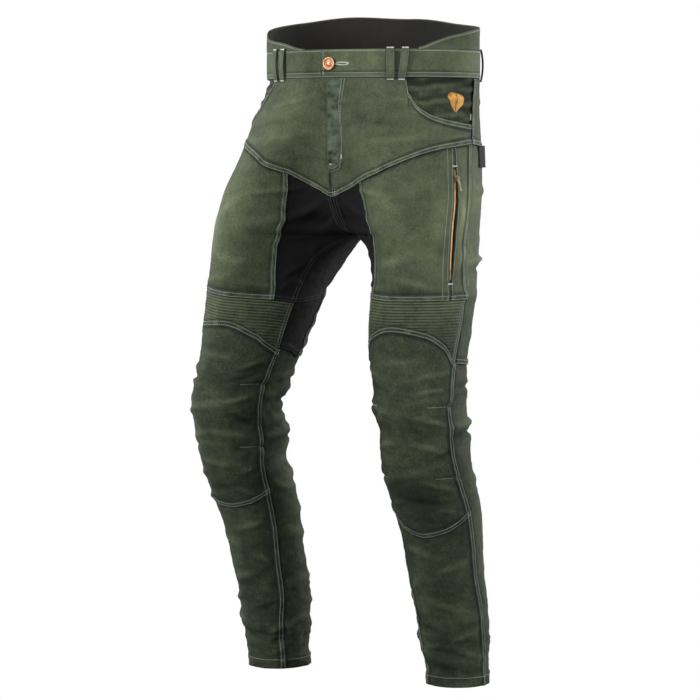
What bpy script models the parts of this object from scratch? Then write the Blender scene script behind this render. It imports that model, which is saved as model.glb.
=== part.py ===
"""Riding trousers in olive twill with black stretch panels, worn shape with no wearer in them.

Metres, +Z up.  The front faces -Y and the wearer's left is +X.  The origin is the middle of
the waist opening, at half the height of the waistband.  Each half is a stack of level sections,
and every cloth piece is a wall cut from that one form, so neighbours meet at the same seams.
"""
import bisect
import math

import bmesh
import bpy
from mathutils import Matrix, Vector

for old in list(bpy.data.objects):
    bpy.data.objects.remove(old)

MM = 0.001
WALL = 2.0 * MM
THIN_WALL = 1.2 * MM
SEAM_GAP = 0.3 * MM
HALF_GAP = SEAM_GAP / 2

BAND_TOP = 22 * MM
BAND_BOTTOM = -22 * MM
CROTCH_Z = -262 * MM
WAIST_RADIUS = 0.155

# Level sections of the left half, in millimetres.  front, out and back are the outermost points
# that way; in_front and in_back are where the inner side would reach, past the middle of the
# body above the crotch; in_y is how far forward that inner side lies.
SECTION_COLUMNS = ("z", "front_x", "front_y", "out_x", "out_y", "back_x", "back_y",
                   "in_front", "in_back", "in_y")
SECTIONS = (
    (90, 0, -134, 177, 0, 0, 134, -177, -177, 0),
    (0, 0, -134, 177, 0, 0, 134, -177, -177, 0),
    (-22, 4, -135, 177, -2, 4, 133, -170, -170, -2),
    (-57, 30, -145, 181, -15, 26, 127, -64, -120, -10),
    (-136, 84, -168, 192, -40, 60, 112, -46, -104, -30),
    (-205, 126, -194, 205, -66, 82, 90, -24, -42, -48),
    (-236, 132, -200, 209, -80, 88, 78, -12, -16, -49),
    (-262, 138, -202, 211, -90, 94, 68, 0, 0, -46),
    (-282, 142, -202, 213, -97, 102, 60, 24, 24, -46),
    (-302, 145, -201, 214, -100, 108, 52, 40, 40, -50),
    (-335, 148, -202, 217, -105, 120, 32, 54, 54, -64),
    (-372, 150, -204, 220, -110, 131, 10, 61, 61, -84),
    (-448, 156, -214, 222, -129, 145, -30, 79, 79, -115),
    (-524, 167, -221, 232, -143, 163, -61, 98, 98, -139),
    (-561, 169, -213, 231, -138, 161, -53, 99, 99, -128),
    (-618, 167, -198, 231, -121, 164, -42, 100, 100, -119),
    (-675, 165, -166, 230, -91, 166, -18, 101, 101, -92),
    (-731, 163, -134, 224, -68, 165, -2, 104, 104, -68),
    (-788, 162, -115, 219, -53, 162, 9, 105, 105, -53),
    (-845, 161, -95, 217, -34, 161, 26, 106, 106, -33),
    (-890, 162, -86, 216, -28, 163, 28, 112, 112, -28),
    (-965, 164, -68, 212, -17, 164, 35, 116, 116, -17),
)

# Seams that run down the leg, as degrees round the section: 0 is the outermost point, -90 the
# front, 90 the back.  inseam counts from the innermost point towards the front.
SEAMS = (
    # z, inseam, black seam, zip seam, side seam, back black seam
    (90, 0, -78, -27, 3, 64),
    (0, 0, -78, -27, 3, 64),
    (-57, 0, -84, -24, 3, 76),
    (-125, 0, -98, -17, 3, 94),
    (-205, 0, -113, -16, 3, 114),
    (-262, 0, -114, -17, 3, 130),
    (-276, 15, -116, -17, 3, 136),
    (-300, 25, -122, -18, 3, 145),
    (-372, 25, -133, -22, 2, 160),
    (-450, 21, -128, -26, -5, 168),
    (-561, 24, -122, -38, -17, 176),
    (-700, 33, -118, -34, -10, 184),
    (-965, 45, -110, -25, 0, 192),
)
BLACK_COLUMN = 5
ZIP_COLUMN = 13
SIDE_COLUMN = 16
BACK_BLACK_COLUMN = 23
LAST_COLUMN = 27

# Cross seams: the height of each, in millimetres, at these columns round the half.
CROSS_COLUMNS = (0, 2, 5, 8, 11, 13, 16, 20, 23, 27)
CROSS_SEAMS = {
    "band": (-22,) * 10,
    "yoke": (-205, -197, -182, -158, -136, -129, -125, -142, -170, -210),
    "crotch": (-262,) * 10,
    "ribs": (-360,) * 10,
    "knee": (-446, -435, -414, -397, -406, -425, -455, -464, -460, -446),
    "shin": (-680, -693, -711, -723, -715, -704, -688, -684, -680, -680),
    "hem": (-965,) * 10,
}
RIGHT_SEAMS = {
    "yoke": (-205, -194, -170, -141, -126, -122, -120, -138, -168, -210),
    "ribs": (-371, -369, -366, -360, -354, -352, -352, -356, -362, -371),
    "knee": (-442, -434, -418, -396, -399, -418, -451, -460, -456, -442),
    "shin": (-670, -678, -688, -695, -690, -684, -674, -672, -670, -670),
}
SPLITS = (("band", 6), ("yoke", 5), ("crotch", 4), ("ribs", 4), ("knee", 11), ("shin", 11),
          ("hem", 0))

# Hip pocket opening of the left half: height in millimetres at fractions of a column.
POCKET_START = 9.5
POCKET_EDGE = ((9.62, -46), (9.9, -58), (10.5, -70), (11.3, -79), (12.2, -84.5), (13.0, -87.5),
               (14.0, -90), (15.0, -92), (16.0, -93))

# Largest folds: side is 1 for the wearer's left, -1 right, 0 both; column and z are the middle,
# across and along its half sizes, slope the drop per column, height out of the surface.
FOLD_COLUMNS = ("side", "column", "z", "across", "along", "slope", "height")
FOLDS = (
    (0, 4.0, -232, 4.0, 7, 7.0, 4.0),
    (0, 3.0, -258, 3.0, 6, 8.0, 3.5),
    (0, 24.0, -240, 4.0, 10, -7.0, 5.0),
    (0, 22.0, -505, 6.0, 12, 1.5, 6.0),
    (0, 22.5, -545, 5.0, 11, -1.5, -5.0),
    (0, 21.5, -580, 6.0, 12, 1.0, 6.0),
    (0, 22.0, -618, 5.0, 11, 1.0, -4.0),
    (0, 1.5, -520, 3.0, 10, -3.0, 4.0),
    (0, 1.0, -560, 3.0, 10, -3.0, -4.0),
    (1, 15.5, -352, 4.0, 8, 2.0, 4.0),
    (1, 16.0, -520, 3.0, 12, -2.0, -5.0),
    (1, 17.0, -560, 4.0, 12, 2.0, 4.0),
    (-1, 14.0, -500, 3.0, 10, -1.0, -4.0),
    (1, 7.0, -922, 9.0, 9, 1.0, 4.0),
    (1, 6.0, -940, 9.0, 8, 1.0, -4.0),
    (-1, 7.0, -893, 9.0, 9, -1.0, 4.0),
    (-1, 6.0, -912, 9.0, 8, -1.0, -4.5),
    (0, 22.0, -900, 8.0, 12, 1.0, 4.0),
    (0, 21.0, -935, 8.0, 9, 1.0, -3.0),
    (0, 7.0, -800, 6.0, 14, 3.0, 2.5),
)


def read_rows(rows, place):
    """Smooth values of every column of a table at one place along its first column."""
    first = [row[0] for row in rows]
    if first[0] > first[-1]:
        rows = rows[::-1]
        first = first[::-1]
    place = min(max(place, first[0]), first[-1])
    k = min(max(bisect.bisect_right(first, place) - 1, 0), len(rows) - 2)
    span = first[k + 1] - first[k]
    t = (place - first[k]) / span
    before = rows[max(k - 1, 0)]
    after = rows[min(k + 2, len(rows) - 1)]
    values = []
    for i in range(1, len(rows[0])):
        a = rows[k][i]
        b = rows[k + 1][i]
        slope = (b - a) / span
        slope_a = 0.0
        slope_b = 0.0
        if k > 0:
            earlier = (a - before[i]) / (first[k] - before[0])
            slope_a = blended_slope(earlier, slope)
        if k < len(rows) - 2:
            later = (after[i] - b) / (after[0] - first[k + 1])
            slope_b = blended_slope(slope, later)
        cube = t * t * t
        square = t * t
        values.append((2 * cube - 3 * square + 1) * a + (cube - 2 * square + t) * span * slope_a
                      + (3 * square - 2 * cube) * b + (cube - square) * span * slope_b)
    return values


def blended_slope(one, other):
    """A slope between two that never overshoots."""
    if one * other <= 0:
        return 0.0
    return 2 * one * other / (one + other)


def cross_height(side, seam, column):
    """Height of a cross seam, straight between whole columns so that neighbours share it."""
    heights = CROSS_SEAMS[seam]
    if side < 0:
        heights = RIGHT_SEAMS.get(seam, heights)
    rows = tuple(zip(CROSS_COLUMNS, heights))
    low = math.floor(min(max(column, 0), LAST_COLUMN - 1))
    part = column - low
    return ((1 - part) * read_rows(rows, low)[0] + part * read_rows(rows, low + 1)[0]) * MM


def column_angle(column, z, section):
    """Degrees round the section of a column: the seams, and even steps between them."""
    inseam, black, zip_seam, side, back_black = read_rows(SEAMS, z / MM)
    front_x, _, _, _, back_x, _, in_front, in_back, _ = section
    if z > CROTCH_Z:
        start = -180 + math.degrees(math.acos(min(front_x / (front_x - in_front), 1)))
        end = 180 - math.degrees(math.acos(min(back_x / (back_x - in_back), 1)))
    else:
        start = -180 + inseam
        end = 180 + inseam
    stops = ((0, start), (BLACK_COLUMN, black), (ZIP_COLUMN, zip_seam), (SIDE_COLUMN, side),
             (BACK_BLACK_COLUMN, back_black), (LAST_COLUMN, end))
    for (c0, a0), (c1, a1) in zip(stops, stops[1:]):
        if column <= c1 or c1 == LAST_COLUMN:
            return a0 + (a1 - a0) * (column - c0) / (c1 - c0)


# How hollow the front is between the middle or the inner side and the thigh, down the body.
FRONT_HOLLOW = ((90, 0), (-22, 0), (-57, 0.2), (-136, 0.9), (-205, 1.1), (-236, 1.1),
                (-262, 0.7), (-302, 0.35), (-360, 0.2), (-448, 0), (-965, 0))
HOLLOW_SHAPE = 1.4


def form_point(column, z):
    """A point of the left half's bare form."""
    section = read_rows(SECTIONS, z / MM)
    angle = math.radians(column_angle(column, z, section))
    front_x, front_y, out_x, out_y, back_x, back_y, in_front, in_back, in_y = section
    cosine = math.cos(angle)
    sine = math.sin(angle)
    if sine < 0:
        middle_x, deep_y, inner_x = front_x, front_y, in_front
    else:
        middle_x, deep_y, inner_x = back_x, back_y, in_back
    if cosine > 0:
        x = middle_x + (out_x - middle_x) * cosine
        y = out_y + abs(deep_y - out_y) * sine
    else:
        x = middle_x + (middle_x - inner_x) * cosine
        y = in_y + abs(deep_y - in_y) * sine
    hollow = read_rows(FRONT_HOLLOW, z / MM)[0]
    start_x = max(in_front, 0)
    if sine < 0 and start_x < x < front_x and hollow > 0:
        start_cosine = (front_x - start_x) / (front_x - in_front)
        middle_y = in_y + (front_y - in_y) * math.sqrt(1 - start_cosine ** 2)
        share = ((x - start_x) / (front_x - start_x)) ** HOLLOW_SHAPE
        rise = share * share * (3 - 2 * share)
        y += hollow * (middle_y + (front_y - middle_y) * rise - y)
    return Vector((x * MM, y * MM, z))


def bump(place, half_size):
    """A soft hill, 1 in the middle and 0 past its half size."""
    t = abs(place) / half_size
    if t >= 1:
        return 0.0
    return 0.5 + 0.5 * math.cos(math.pi * t)


def fold_height(side, column, z):
    """How far the folds lift the cloth at one place."""
    total = 0.0
    for fold in FOLDS:
        values = dict(zip(FOLD_COLUMNS, fold))
        if values["side"] * side < 0:
            continue
        off = column - values["column"]
        drop = z / MM - values["z"] + values["slope"] * off
        total += values["height"] * bump(off, values["across"]) * bump(drop, 2 * values["along"])
    return total * MM


def frame_at(column, z):
    """Form point, outward normal and the tangents round and up, on the left half."""
    step_c = 0.02
    step_z = 0.5 * MM
    round_way = form_point(column + step_c, z) - form_point(column - step_c, z)
    up_way = form_point(column, z + step_z) - form_point(column, z - step_z)
    round_way.normalize()
    normal = round_way.cross(up_way)
    normal.normalize()
    up_way = normal.cross(round_way)
    return form_point(column, z), normal, round_way, up_way


def cloth_point(side, column, z, lift=0.0, aside=0.0, above=0.0, keep_half=True):
    """A point on the cloth of one side, moved out, round and up by given lengths."""
    point, normal, round_way, up_way = frame_at(column, z)
    outward = lift + fold_height(side, column, z)
    point = point + normal * outward + round_way * aside + up_way * above
    if keep_half:
        point.x = max(point.x, HALF_GAP)
    return Vector((point.x * side, point.y, point.z))


def levels(side, column, first, last):
    """Heights down one column from one cross seam to another."""
    names = [name for name, _ in SPLITS]
    heights = []
    for k in range(names.index(first), names.index(last)):
        top = cross_height(side, names[k], column)
        bottom = cross_height(side, names[k + 1], column)
        count = SPLITS[k][1]
        for i in range(count):
            t = i / count
            if names[k] == "yoke":
                heights.append(bottom + (top - bottom) * (1 - t) ** 2)
            else:
                heights.append(top + (bottom - top) * t)
    heights.append(cross_height(side, last, column))
    return heights


def material(name, color, roughness, metallic=0.0):
    """A plain finish."""
    if name in bpy.data.materials:
        return bpy.data.materials[name]
    finish = bpy.data.materials.new(name)
    finish.use_nodes = True
    shader = finish.node_tree.nodes["Principled BSDF"]
    shader.inputs["Base Color"].default_value = (*color, 1.0)
    shader.inputs["Roughness"].default_value = roughness
    shader.inputs["Metallic"].default_value = metallic
    return finish


OLIVE = material("olive_twill", (0.09, 0.11, 0.055), 0.9)
BLACK = material("black_stretch", (0.008, 0.008, 0.008), 0.75)
LINING = material("charcoal_lining", (0.03, 0.027, 0.024), 0.9)
TAPE = material("zip_tape", (0.006, 0.006, 0.006), 0.8)
COPPER = material("copper_button", (0.5, 0.24, 0.12), 0.4, 1.0)
NICKEL = material("zip_metal", (0.25, 0.17, 0.11), 0.35, 1.0)
LABEL = material("black_tab", (0.01, 0.01, 0.01), 0.8)


def add_node(name, mesh_data, finish):
    """Close a bmesh into a named object with its faces pointing out."""
    bmesh.ops.recalc_face_normals(mesh_data, faces=mesh_data.faces)
    mesh = bpy.data.meshes.new(name)
    mesh_data.to_mesh(mesh)
    mesh_data.free()
    mesh.materials.append(finish)
    node = bpy.data.objects.new(name, mesh)
    bpy.context.scene.collection.objects.link(node)
    mesh.shade_smooth()
    mesh.set_sharp_from_angle(angle=math.radians(40))
    return node


def zip_strip(mesh_data, left, right):
    """Faces between two lines of vertices that may have different counts."""
    if len(left) == len(right):
        for a, b, c, d in zip(left, left[1:], right[1:], right):
            mesh_data.faces.new((a, b, c, d))
        return
    i = 0
    j = 0
    while i < len(left) - 1 or j < len(right) - 1:
        step_left = j == len(right) - 1
        if i < len(left) - 1 and j < len(right) - 1:
            ahead_left = (left[i + 1].co - right[j].co).length
            ahead_right = (left[i].co - right[j + 1].co).length
            step_left = ahead_left <= ahead_right
        if step_left:
            mesh_data.faces.new((left[i], left[i + 1], right[j]))
            i += 1
        else:
            mesh_data.faces.new((left[i], right[j + 1], right[j]))
            j += 1


def wall_from_grids(name, outer, inner, finish):
    """A closed wall from lists of columns of points, outside and inside."""
    mesh_data = bmesh.new()
    outer_lines = [[mesh_data.verts.new(point) for point in line] for line in outer]
    inner_lines = [[mesh_data.verts.new(point) for point in line] for line in inner]
    for lines in (outer_lines, inner_lines):
        for left, right in zip(lines, lines[1:]):
            zip_strip(mesh_data, left, right)
    zip_strip(mesh_data, outer_lines[0], inner_lines[0])
    zip_strip(mesh_data, outer_lines[-1], inner_lines[-1])
    for end in (0, -1):
        zip_strip(mesh_data, [line[end] for line in outer_lines],
                  [line[end] for line in inner_lines])
    return add_node(name, mesh_data, finish)


def panel(name, side, columns, column_levels, finish, lift=0.0, wall=WALL, slit=None,
          keep_half=True):
    """A cloth panel: columns of points on the form, a half gap in from each edge."""
    outer = []
    inner = []
    for i, column in enumerate(columns):
        heights = column_levels(column)
        outer_line = []
        inner_line = []
        for j, z in enumerate(heights):
            aside = 0.0
            if i == 0:
                aside = HALF_GAP
            elif i == len(columns) - 1:
                aside = -HALF_GAP
            if aside and slit and slit["column"] == column:
                aside += math.copysign(slit["half"], aside) * slit_open(z, slit)
            above = 0.0
            if j == 0:
                above = -HALF_GAP
            elif j == len(heights) - 1:
                above = HALF_GAP
            outer_line.append(cloth_point(side, column, z, lift, aside, above, keep_half))
            inner_line.append(cloth_point(side, column, z, lift - wall, aside, above, keep_half))
        outer.append(outer_line)
        inner.append(inner_line)
    return wall_from_grids(name, outer, inner, finish)


def slit_open(z, slit):
    """1 inside the zip opening and 0 past its ends."""
    return 1.0 if slit["bottom"] <= z <= slit["top"] else 0.0


def whole_columns(first, last):
    """Column numbers from one seam to another."""
    return list(range(first, last + 1))


ZIP_SLIT = {"column": ZIP_COLUMN, "half": 1.6 * MM, "top": -160 * MM, "bottom": -332 * MM}

# Panels of each half: name, first and last column, first and last cross seam, finish, zip.
PANELS = (
    ("thigh_front", BLACK_COLUMN, ZIP_COLUMN, "yoke", "ribs", OLIVE, ZIP_SLIT),
    ("thigh_side", ZIP_COLUMN, SIDE_COLUMN, "yoke", "ribs", OLIVE, ZIP_SLIT),
    ("inner_front", 0, BLACK_COLUMN, "yoke", "ribs", BLACK, None),
    ("knee", 0, SIDE_COLUMN, "knee", "shin", OLIVE, None),
    ("shin", 0, SIDE_COLUMN, "shin", "hem", OLIVE, None),
    ("seat", SIDE_COLUMN, LAST_COLUMN, "band", "yoke", OLIVE, None),
    ("back_thigh", SIDE_COLUMN, BACK_BLACK_COLUMN, "yoke", "knee", OLIVE, None),
    ("inner_back", BACK_BLACK_COLUMN, LAST_COLUMN, "yoke", "ribs", BLACK, None),
    ("inner_back_low", BACK_BLACK_COLUMN, LAST_COLUMN, "ribs", "knee", BLACK, None),
    ("calf", SIDE_COLUMN, LAST_COLUMN, "knee", "hem", OLIVE, None),
)


def pocket_height(column):
    """Height of the hip pocket's edge at a column."""
    return read_rows(POCKET_EDGE, column)[0] * MM


def hip_levels(side, column):
    """Heights down the front from the waistband, or from the pocket's edge, to the yoke seam."""
    bottom = cross_height(side, "yoke", column)
    top = BAND_BOTTOM if column <= POCKET_START else pocket_height(column)
    count = SPLITS[0][1]
    return [top + (bottom - top) * i / count for i in range(count + 1)]


FACING_BELOW = 14 * MM
FACING_DEEP = 1.0 * MM


def facing_levels(column):
    """Heights down the pocket facing, from the waistband to below the pocket's edge."""
    bottom = pocket_height(max(column, POCKET_EDGE[0][0])) - FACING_BELOW
    return spread(BAND_BOTTOM, bottom, 6)


RIB_PITCH = 4.4 * MM
RIB_HEIGHT = 2.0 * MM
RIB_EDGE = 0.3


def rib_band(side, name):
    """The ribbed band over the knee: level ribs cut off below by the knee seam."""
    columns = [0, RIB_EDGE] + whole_columns(1, SIDE_COLUMN - 1) + [SIDE_COLUMN - RIB_EDGE,
                                                                  SIDE_COLUMN]
    outer = []
    inner = []
    for column in columns:
        coarse = levels(side, column, "ribs", "knee")
        fine = [coarse[0]]
        count = 0
        while fine[-1] - RIB_PITCH / 2 > coarse[-1] + RIB_PITCH / 4:
            count += 1
            fine.append(coarse[0] - count * RIB_PITCH / 2)
        fine.append(coarse[-1])
        at_edge = column in (0, SIDE_COLUMN)
        aside = 0.0
        if column == 0:
            aside = HALF_GAP
        elif column == SIDE_COLUMN:
            aside = -HALF_GAP

        def edge_line(heights, lift):
            line = []
            for j, z in enumerate(heights):
                above = 0.0
                if j == 0:
                    above = -HALF_GAP
                elif j == len(heights) - 1:
                    above = HALF_GAP
                line.append(cloth_point(side, column, z, lift, aside, above))
            return line

        inner.append(edge_line(coarse, -WALL))
        if at_edge:
            outer.append(edge_line(coarse, 0.0))
            continue
        line = []
        for j, z in enumerate(fine):
            ridge = RIB_HEIGHT if j % 2 and j < len(fine) - 1 else 0.0
            above = 0.0
            if j == 0:
                above = -HALF_GAP
            elif j == len(fine) - 1:
                above = HALF_GAP
            line.append(cloth_point(side, column, z, ridge, 0.0, above))
        outer.append(line)
    return wall_from_grids(name, outer, inner, OLIVE)


def waist_point(angle, z, lift):
    """A point round the whole waist: -90 the front, 0 the wearer's left, 90 the back."""
    section = dict(zip(SECTION_COLUMNS[1:], read_rows(SECTIONS, min(z / MM, 90))))
    half_width = section["out_x"] * MM
    half_depth = (abs(section["front_y"]) + section["back_y"]) / 2 * MM
    radians = math.radians(angle)
    normal = Vector((math.cos(radians) / half_width, math.sin(radians) / half_depth, 0))
    normal.normalize()
    point = Vector((half_width * math.cos(radians), half_depth * math.sin(radians), z))
    return point + normal * lift


def waist_wall(name, angles, column_heights, lift_at, wall, finish):
    """A wall round the waist; lift_at gives how far out its face is at an angle and height."""
    outer = []
    inner = []
    for angle in angles:
        heights = column_heights(angle)
        outer.append([waist_point(angle, z, lift_at(angle, z)) for z in heights])
        inner.append([waist_point(angle, z, lift_at(angle, z) - wall) for z in heights])
    return wall_from_grids(name, outer, inner, finish)


def spread(first, last, count):
    """Evenly spaced values with both ends."""
    return [first + (last - first) * i / count for i in range(count + 1)]


BAND_WALL = 3.0 * MM
BAND_OUT = 0.8 * MM
BAND_END_ANGLE = -94.4
GAP_ANGLE = math.degrees(HALF_GAP / WAIST_RADIUS)
BAND_COLUMNS = 26


def band_heights(_angle):
    """Three heights down the waistband."""
    return spread(BAND_TOP - HALF_GAP, BAND_BOTTOM + HALF_GAP, 2)


def add_waistband():
    """Two halves of waistband; the left one runs past the middle of the front to its end."""
    left = spread(BAND_END_ANGLE + GAP_ANGLE, 90 - GAP_ANGLE, BAND_COLUMNS)
    right = spread(90 + GAP_ANGLE, BAND_END_ANGLE + 360 - GAP_ANGLE, BAND_COLUMNS)
    waist_wall("waistband_left", left, band_heights, lambda a, z: BAND_OUT, BAND_WALL, OLIVE)
    waist_wall("waistband_right", right, band_heights, lambda a, z: BAND_OUT, BAND_WALL, OLIVE)


# Top edge of the raised back: degrees from the side point, then the height in millimetres on
# the wearer's left and on the right, where it sits higher and runs further round to the front.
RAISED_TOP = ((-74, 25, 23.5), (-57, 25, 33.5), (-42, 25, 39), (-34, 32, 42), (-22, 42, 53),
              (0, 52, 64), (25, 59, 73), (58, 68, 83), (90, 79, 79))
RAISED_END_LEFT = 42
RAISED_END_RIGHT = 74
LINING_END = 39


def raised_height(angle):
    """Height of the raised back's top edge."""
    left = angle <= 90
    values = read_rows(RAISED_TOP, angle if left else 180 - angle)
    return values[0 if left else 1] * MM


def raised_heights(angle):
    """Heights up the raised back from the waistband's top edge."""
    return spread(raised_height(angle), BAND_TOP + HALF_GAP, 3)


LINING_DROP = 3 * MM


def lining_heights(angle):
    """Heights of the lining, from just under the raised edge to the waistband's lower edge."""
    return spread(raised_height(angle) - LINING_DROP, BAND_BOTTOM + LINING_DROP, 4)


def add_raised_back():
    """The back panel that rises over the waistband, and the lining that shows inside it."""
    angles = spread(-RAISED_END_LEFT, 180 + RAISED_END_RIGHT, 50)
    waist_wall("raised_back", angles, raised_heights, lambda a, z: BAND_OUT, WALL, OLIVE)
    depth = BAND_OUT - BAND_WALL - 2 * SEAM_GAP
    waist_wall("back_lining", spread(-LINING_END, 180 + LINING_END, 40),
               lining_heights, lambda a, z: depth, THIN_WALL, LINING)


LOOP_WIDTH = 13 * MM
LOOP_WALL = 1.6 * MM
LOOP_CLEAR = 3.6 * MM
LOOP_TOP = 25 * MM
LOOP_BOTTOM = -21.5 * MM
# Belt loops: name, degrees at the top, degrees at the bottom.
LOOPS = (
    ("belt_loop_front_left", -57.5, -57.5),
    ("belt_loop_slant_left", -49.4, -51.6),
    ("belt_loop_front_right", 237.5, 237.5),
    ("belt_loop_slant_right", 229.5, 230.5),
    ("belt_loop_side_left", 27, 27),
    ("belt_loop_side_right", 153, 153),
    ("belt_loop_back", 90, 90),
)


def add_belt_loop(name, top_angle, bottom_angle):
    """A strip sewn at its two ends that stands off the waistband between them."""
    heights = spread(LOOP_TOP, LOOP_BOTTOM, 8)
    half = math.degrees(LOOP_WIDTH / 2 / WAIST_RADIUS)
    outer = []
    inner = []
    for offset in (-half, 0, half):
        outer_line = []
        inner_line = []
        for z in heights:
            share = (LOOP_TOP - z) / (LOOP_TOP - LOOP_BOTTOM)
            angle = top_angle + (bottom_angle - top_angle) * share + offset
            rise = math.sin(math.pi * share) ** 0.7 if 0 < share < 1 else 0.0
            base = BAND_OUT + SEAM_GAP + 0.4 * MM + LOOP_CLEAR * rise
            outer_line.append(waist_point(angle, z, base + LOOP_WALL))
            inner_line.append(waist_point(angle, z, base))
        outer.append(outer_line)
        inner.append(inner_line)
    wall_from_grids(name, outer, inner, OLIVE)


def spin_profile(name, profile, place, out_axis, finish, steps=24):
    """A turned piece: radius and height pairs spun round an axis through a place."""
    mesh_data = bmesh.new()
    line = [mesh_data.verts.new((radius, 0, height)) for radius, height in profile]
    edges = [mesh_data.edges.new(pair) for pair in zip(line, line[1:])]
    bmesh.ops.spin(mesh_data, geom=line + edges, cent=(0, 0, 0), axis=(0, 0, 1),
                   angle=2 * math.pi, steps=steps, use_merge=True)
    bmesh.ops.remove_doubles(mesh_data, verts=mesh_data.verts, dist=1e-6)
    turn = out_axis.to_track_quat("Z", "Y").to_matrix().to_4x4()
    mesh_data.transform(Matrix.Translation(place) @ turn)
    return add_node(name, mesh_data, finish)


def add_button():
    """The tack button: a dished copper cap on a short shank at the middle of the front."""
    cap = 10 * MM
    profile = ((0, 0), (cap * 0.5, 0), (cap * 0.5, 1.2 * MM), (cap, 1.6 * MM), (cap, 3.0 * MM),
               (cap * 0.9, 3.8 * MM), (cap * 0.72, 3.4 * MM), (cap * 0.5, 3.1 * MM),
               (0, 3.0 * MM))
    place = waist_point(-90, 0, BAND_OUT + SEAM_GAP)
    spin_profile("tack_button", profile, place, Vector((0, -1, 0)), COPPER)


PLACKET_WIDTH = 28 * MM
PLACKET_OVER = 3 * MM
PLACKET_WALL = 1.2 * MM
PLACKET_LIFT = 1.0 * MM
PLACKET_LONG = 146 * MM
PLACKET_CURVE = 26 * MM


def column_at_x(x, z):
    """The column whose form point is at a distance from the middle of the front."""
    low, high = -6.0, 12.0
    for _ in range(30):
        middle = (low + high) / 2
        if form_point(middle, z).x < x:
            low = middle
        else:
            high = middle
    return (low + high) / 2


def add_fly_placket():
    """The fly's cover on the left front: a strip with a J-shaped lower end."""
    outer = []
    inner = []
    for across in (0, 0.1, 0.3, 0.5, 0.72, 0.88, 1.0):
        x = -PLACKET_OVER + across * (PLACKET_WIDTH + PLACKET_OVER)
        rise = PLACKET_CURVE * (1 - math.sqrt(max(1 - across * across, 0)))
        bottom = BAND_BOTTOM - PLACKET_LONG + rise
        outer_line = []
        inner_line = []
        for z in spread(BAND_BOTTOM - SEAM_GAP, bottom, 9):
            column = column_at_x(abs(x), z)
            way = -1 if x < 0 else 1
            outer_line.append(cloth_point(way, column, z, PLACKET_LIFT + PLACKET_WALL))
            inner_line.append(cloth_point(way, column, z, PLACKET_LIFT))
        outer.append(outer_line)
        inner.append(inner_line)
    wall_from_grids("fly_placket", outer, inner, OLIVE)


TAPE_HALF = 8 * MM
TAPE_DEEP = 1.4 * MM
TAPE_EXTRA = 6 * MM


def add_zip_tape(side, name):
    """The zip's tape behind the slit in the thigh."""
    outer = []
    inner = []
    top = ZIP_SLIT["top"] + TAPE_EXTRA
    bottom = ZIP_SLIT["bottom"] - TAPE_EXTRA
    deep = -WALL - TAPE_DEEP
    for across in (-1, 0, 1):
        outer_line = []
        inner_line = []
        for z in spread(top, bottom, 12):
            aside = across * TAPE_HALF
            outer_line.append(cloth_point(side, ZIP_COLUMN, z, deep, aside))
            inner_line.append(cloth_point(side, ZIP_COLUMN, z, deep - THIN_WALL, aside))
        outer.append(outer_line)
        inner.append(inner_line)
    wall_from_grids(name, outer, inner, TAPE)


def block(mesh_data, size, middle):
    """A box in a bmesh, given its three sizes and its middle."""
    result = bmesh.ops.create_cube(mesh_data, size=1.0)
    bmesh.ops.scale(mesh_data, vec=size, verts=result["verts"])
    bmesh.ops.translate(mesh_data, vec=middle, verts=result["verts"])
    return result["verts"]


SLIDER_Z = -176 * MM
SLIDER_LONG = 9 * MM
SLIDER_WIDE = 7.6 * MM
SLIDER_THICK = 2.4 * MM
PIN_RADIUS = 0.7 * MM
PIN_OUT = 4.7 * MM
LUG_WIDE = 1.3 * MM
PULL_LONG = 20 * MM
PULL_WIDE = 4.2 * MM
PULL_THICK = 1.2 * MM
EYE_RADIUS = 1.9 * MM
EYE_CLEAR = 0.4 * MM


def slider_frame(side):
    """Where the slider sits: across the slit, out of the cloth and up the slit."""
    point, normal, round_way, up_way = frame_at(ZIP_COLUMN, SLIDER_Z)
    lift = normal * (fold_height(side, ZIP_COLUMN, SLIDER_Z) + SEAM_GAP)
    matrix = Matrix.Identity(4)
    matrix.col[0][:3] = round_way
    matrix.col[1][:3] = -normal
    matrix.col[2][:3] = up_way
    matrix.col[3][:3] = point + lift
    if side < 0:
        matrix = Matrix.Scale(-1, 4, (1, 0, 0)) @ matrix
    return matrix


def extrude_outline(points, half_width):
    """A bar whose side outline, in the local Y and Z, runs along the local X."""
    mesh_data = bmesh.new()
    ring = [mesh_data.verts.new((-half_width, y, z)) for y, z in points]
    face = mesh_data.faces.new(ring)
    result = bmesh.ops.extrude_face_region(mesh_data, geom=[face])
    moved = [v for v in result["geom"] if isinstance(v, bmesh.types.BMVert)]
    bmesh.ops.translate(mesh_data, vec=(2 * half_width, 0, 0), verts=moved)
    return mesh_data


def circle_points(radius, middle, count, start=0.0):
    """Points round a circle in the local Y and Z."""
    return [(middle[0] + radius * math.cos(start + 2 * math.pi * i / count),
             middle[1] + radius * math.sin(start + 2 * math.pi * i / count))
            for i in range(count)]


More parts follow.
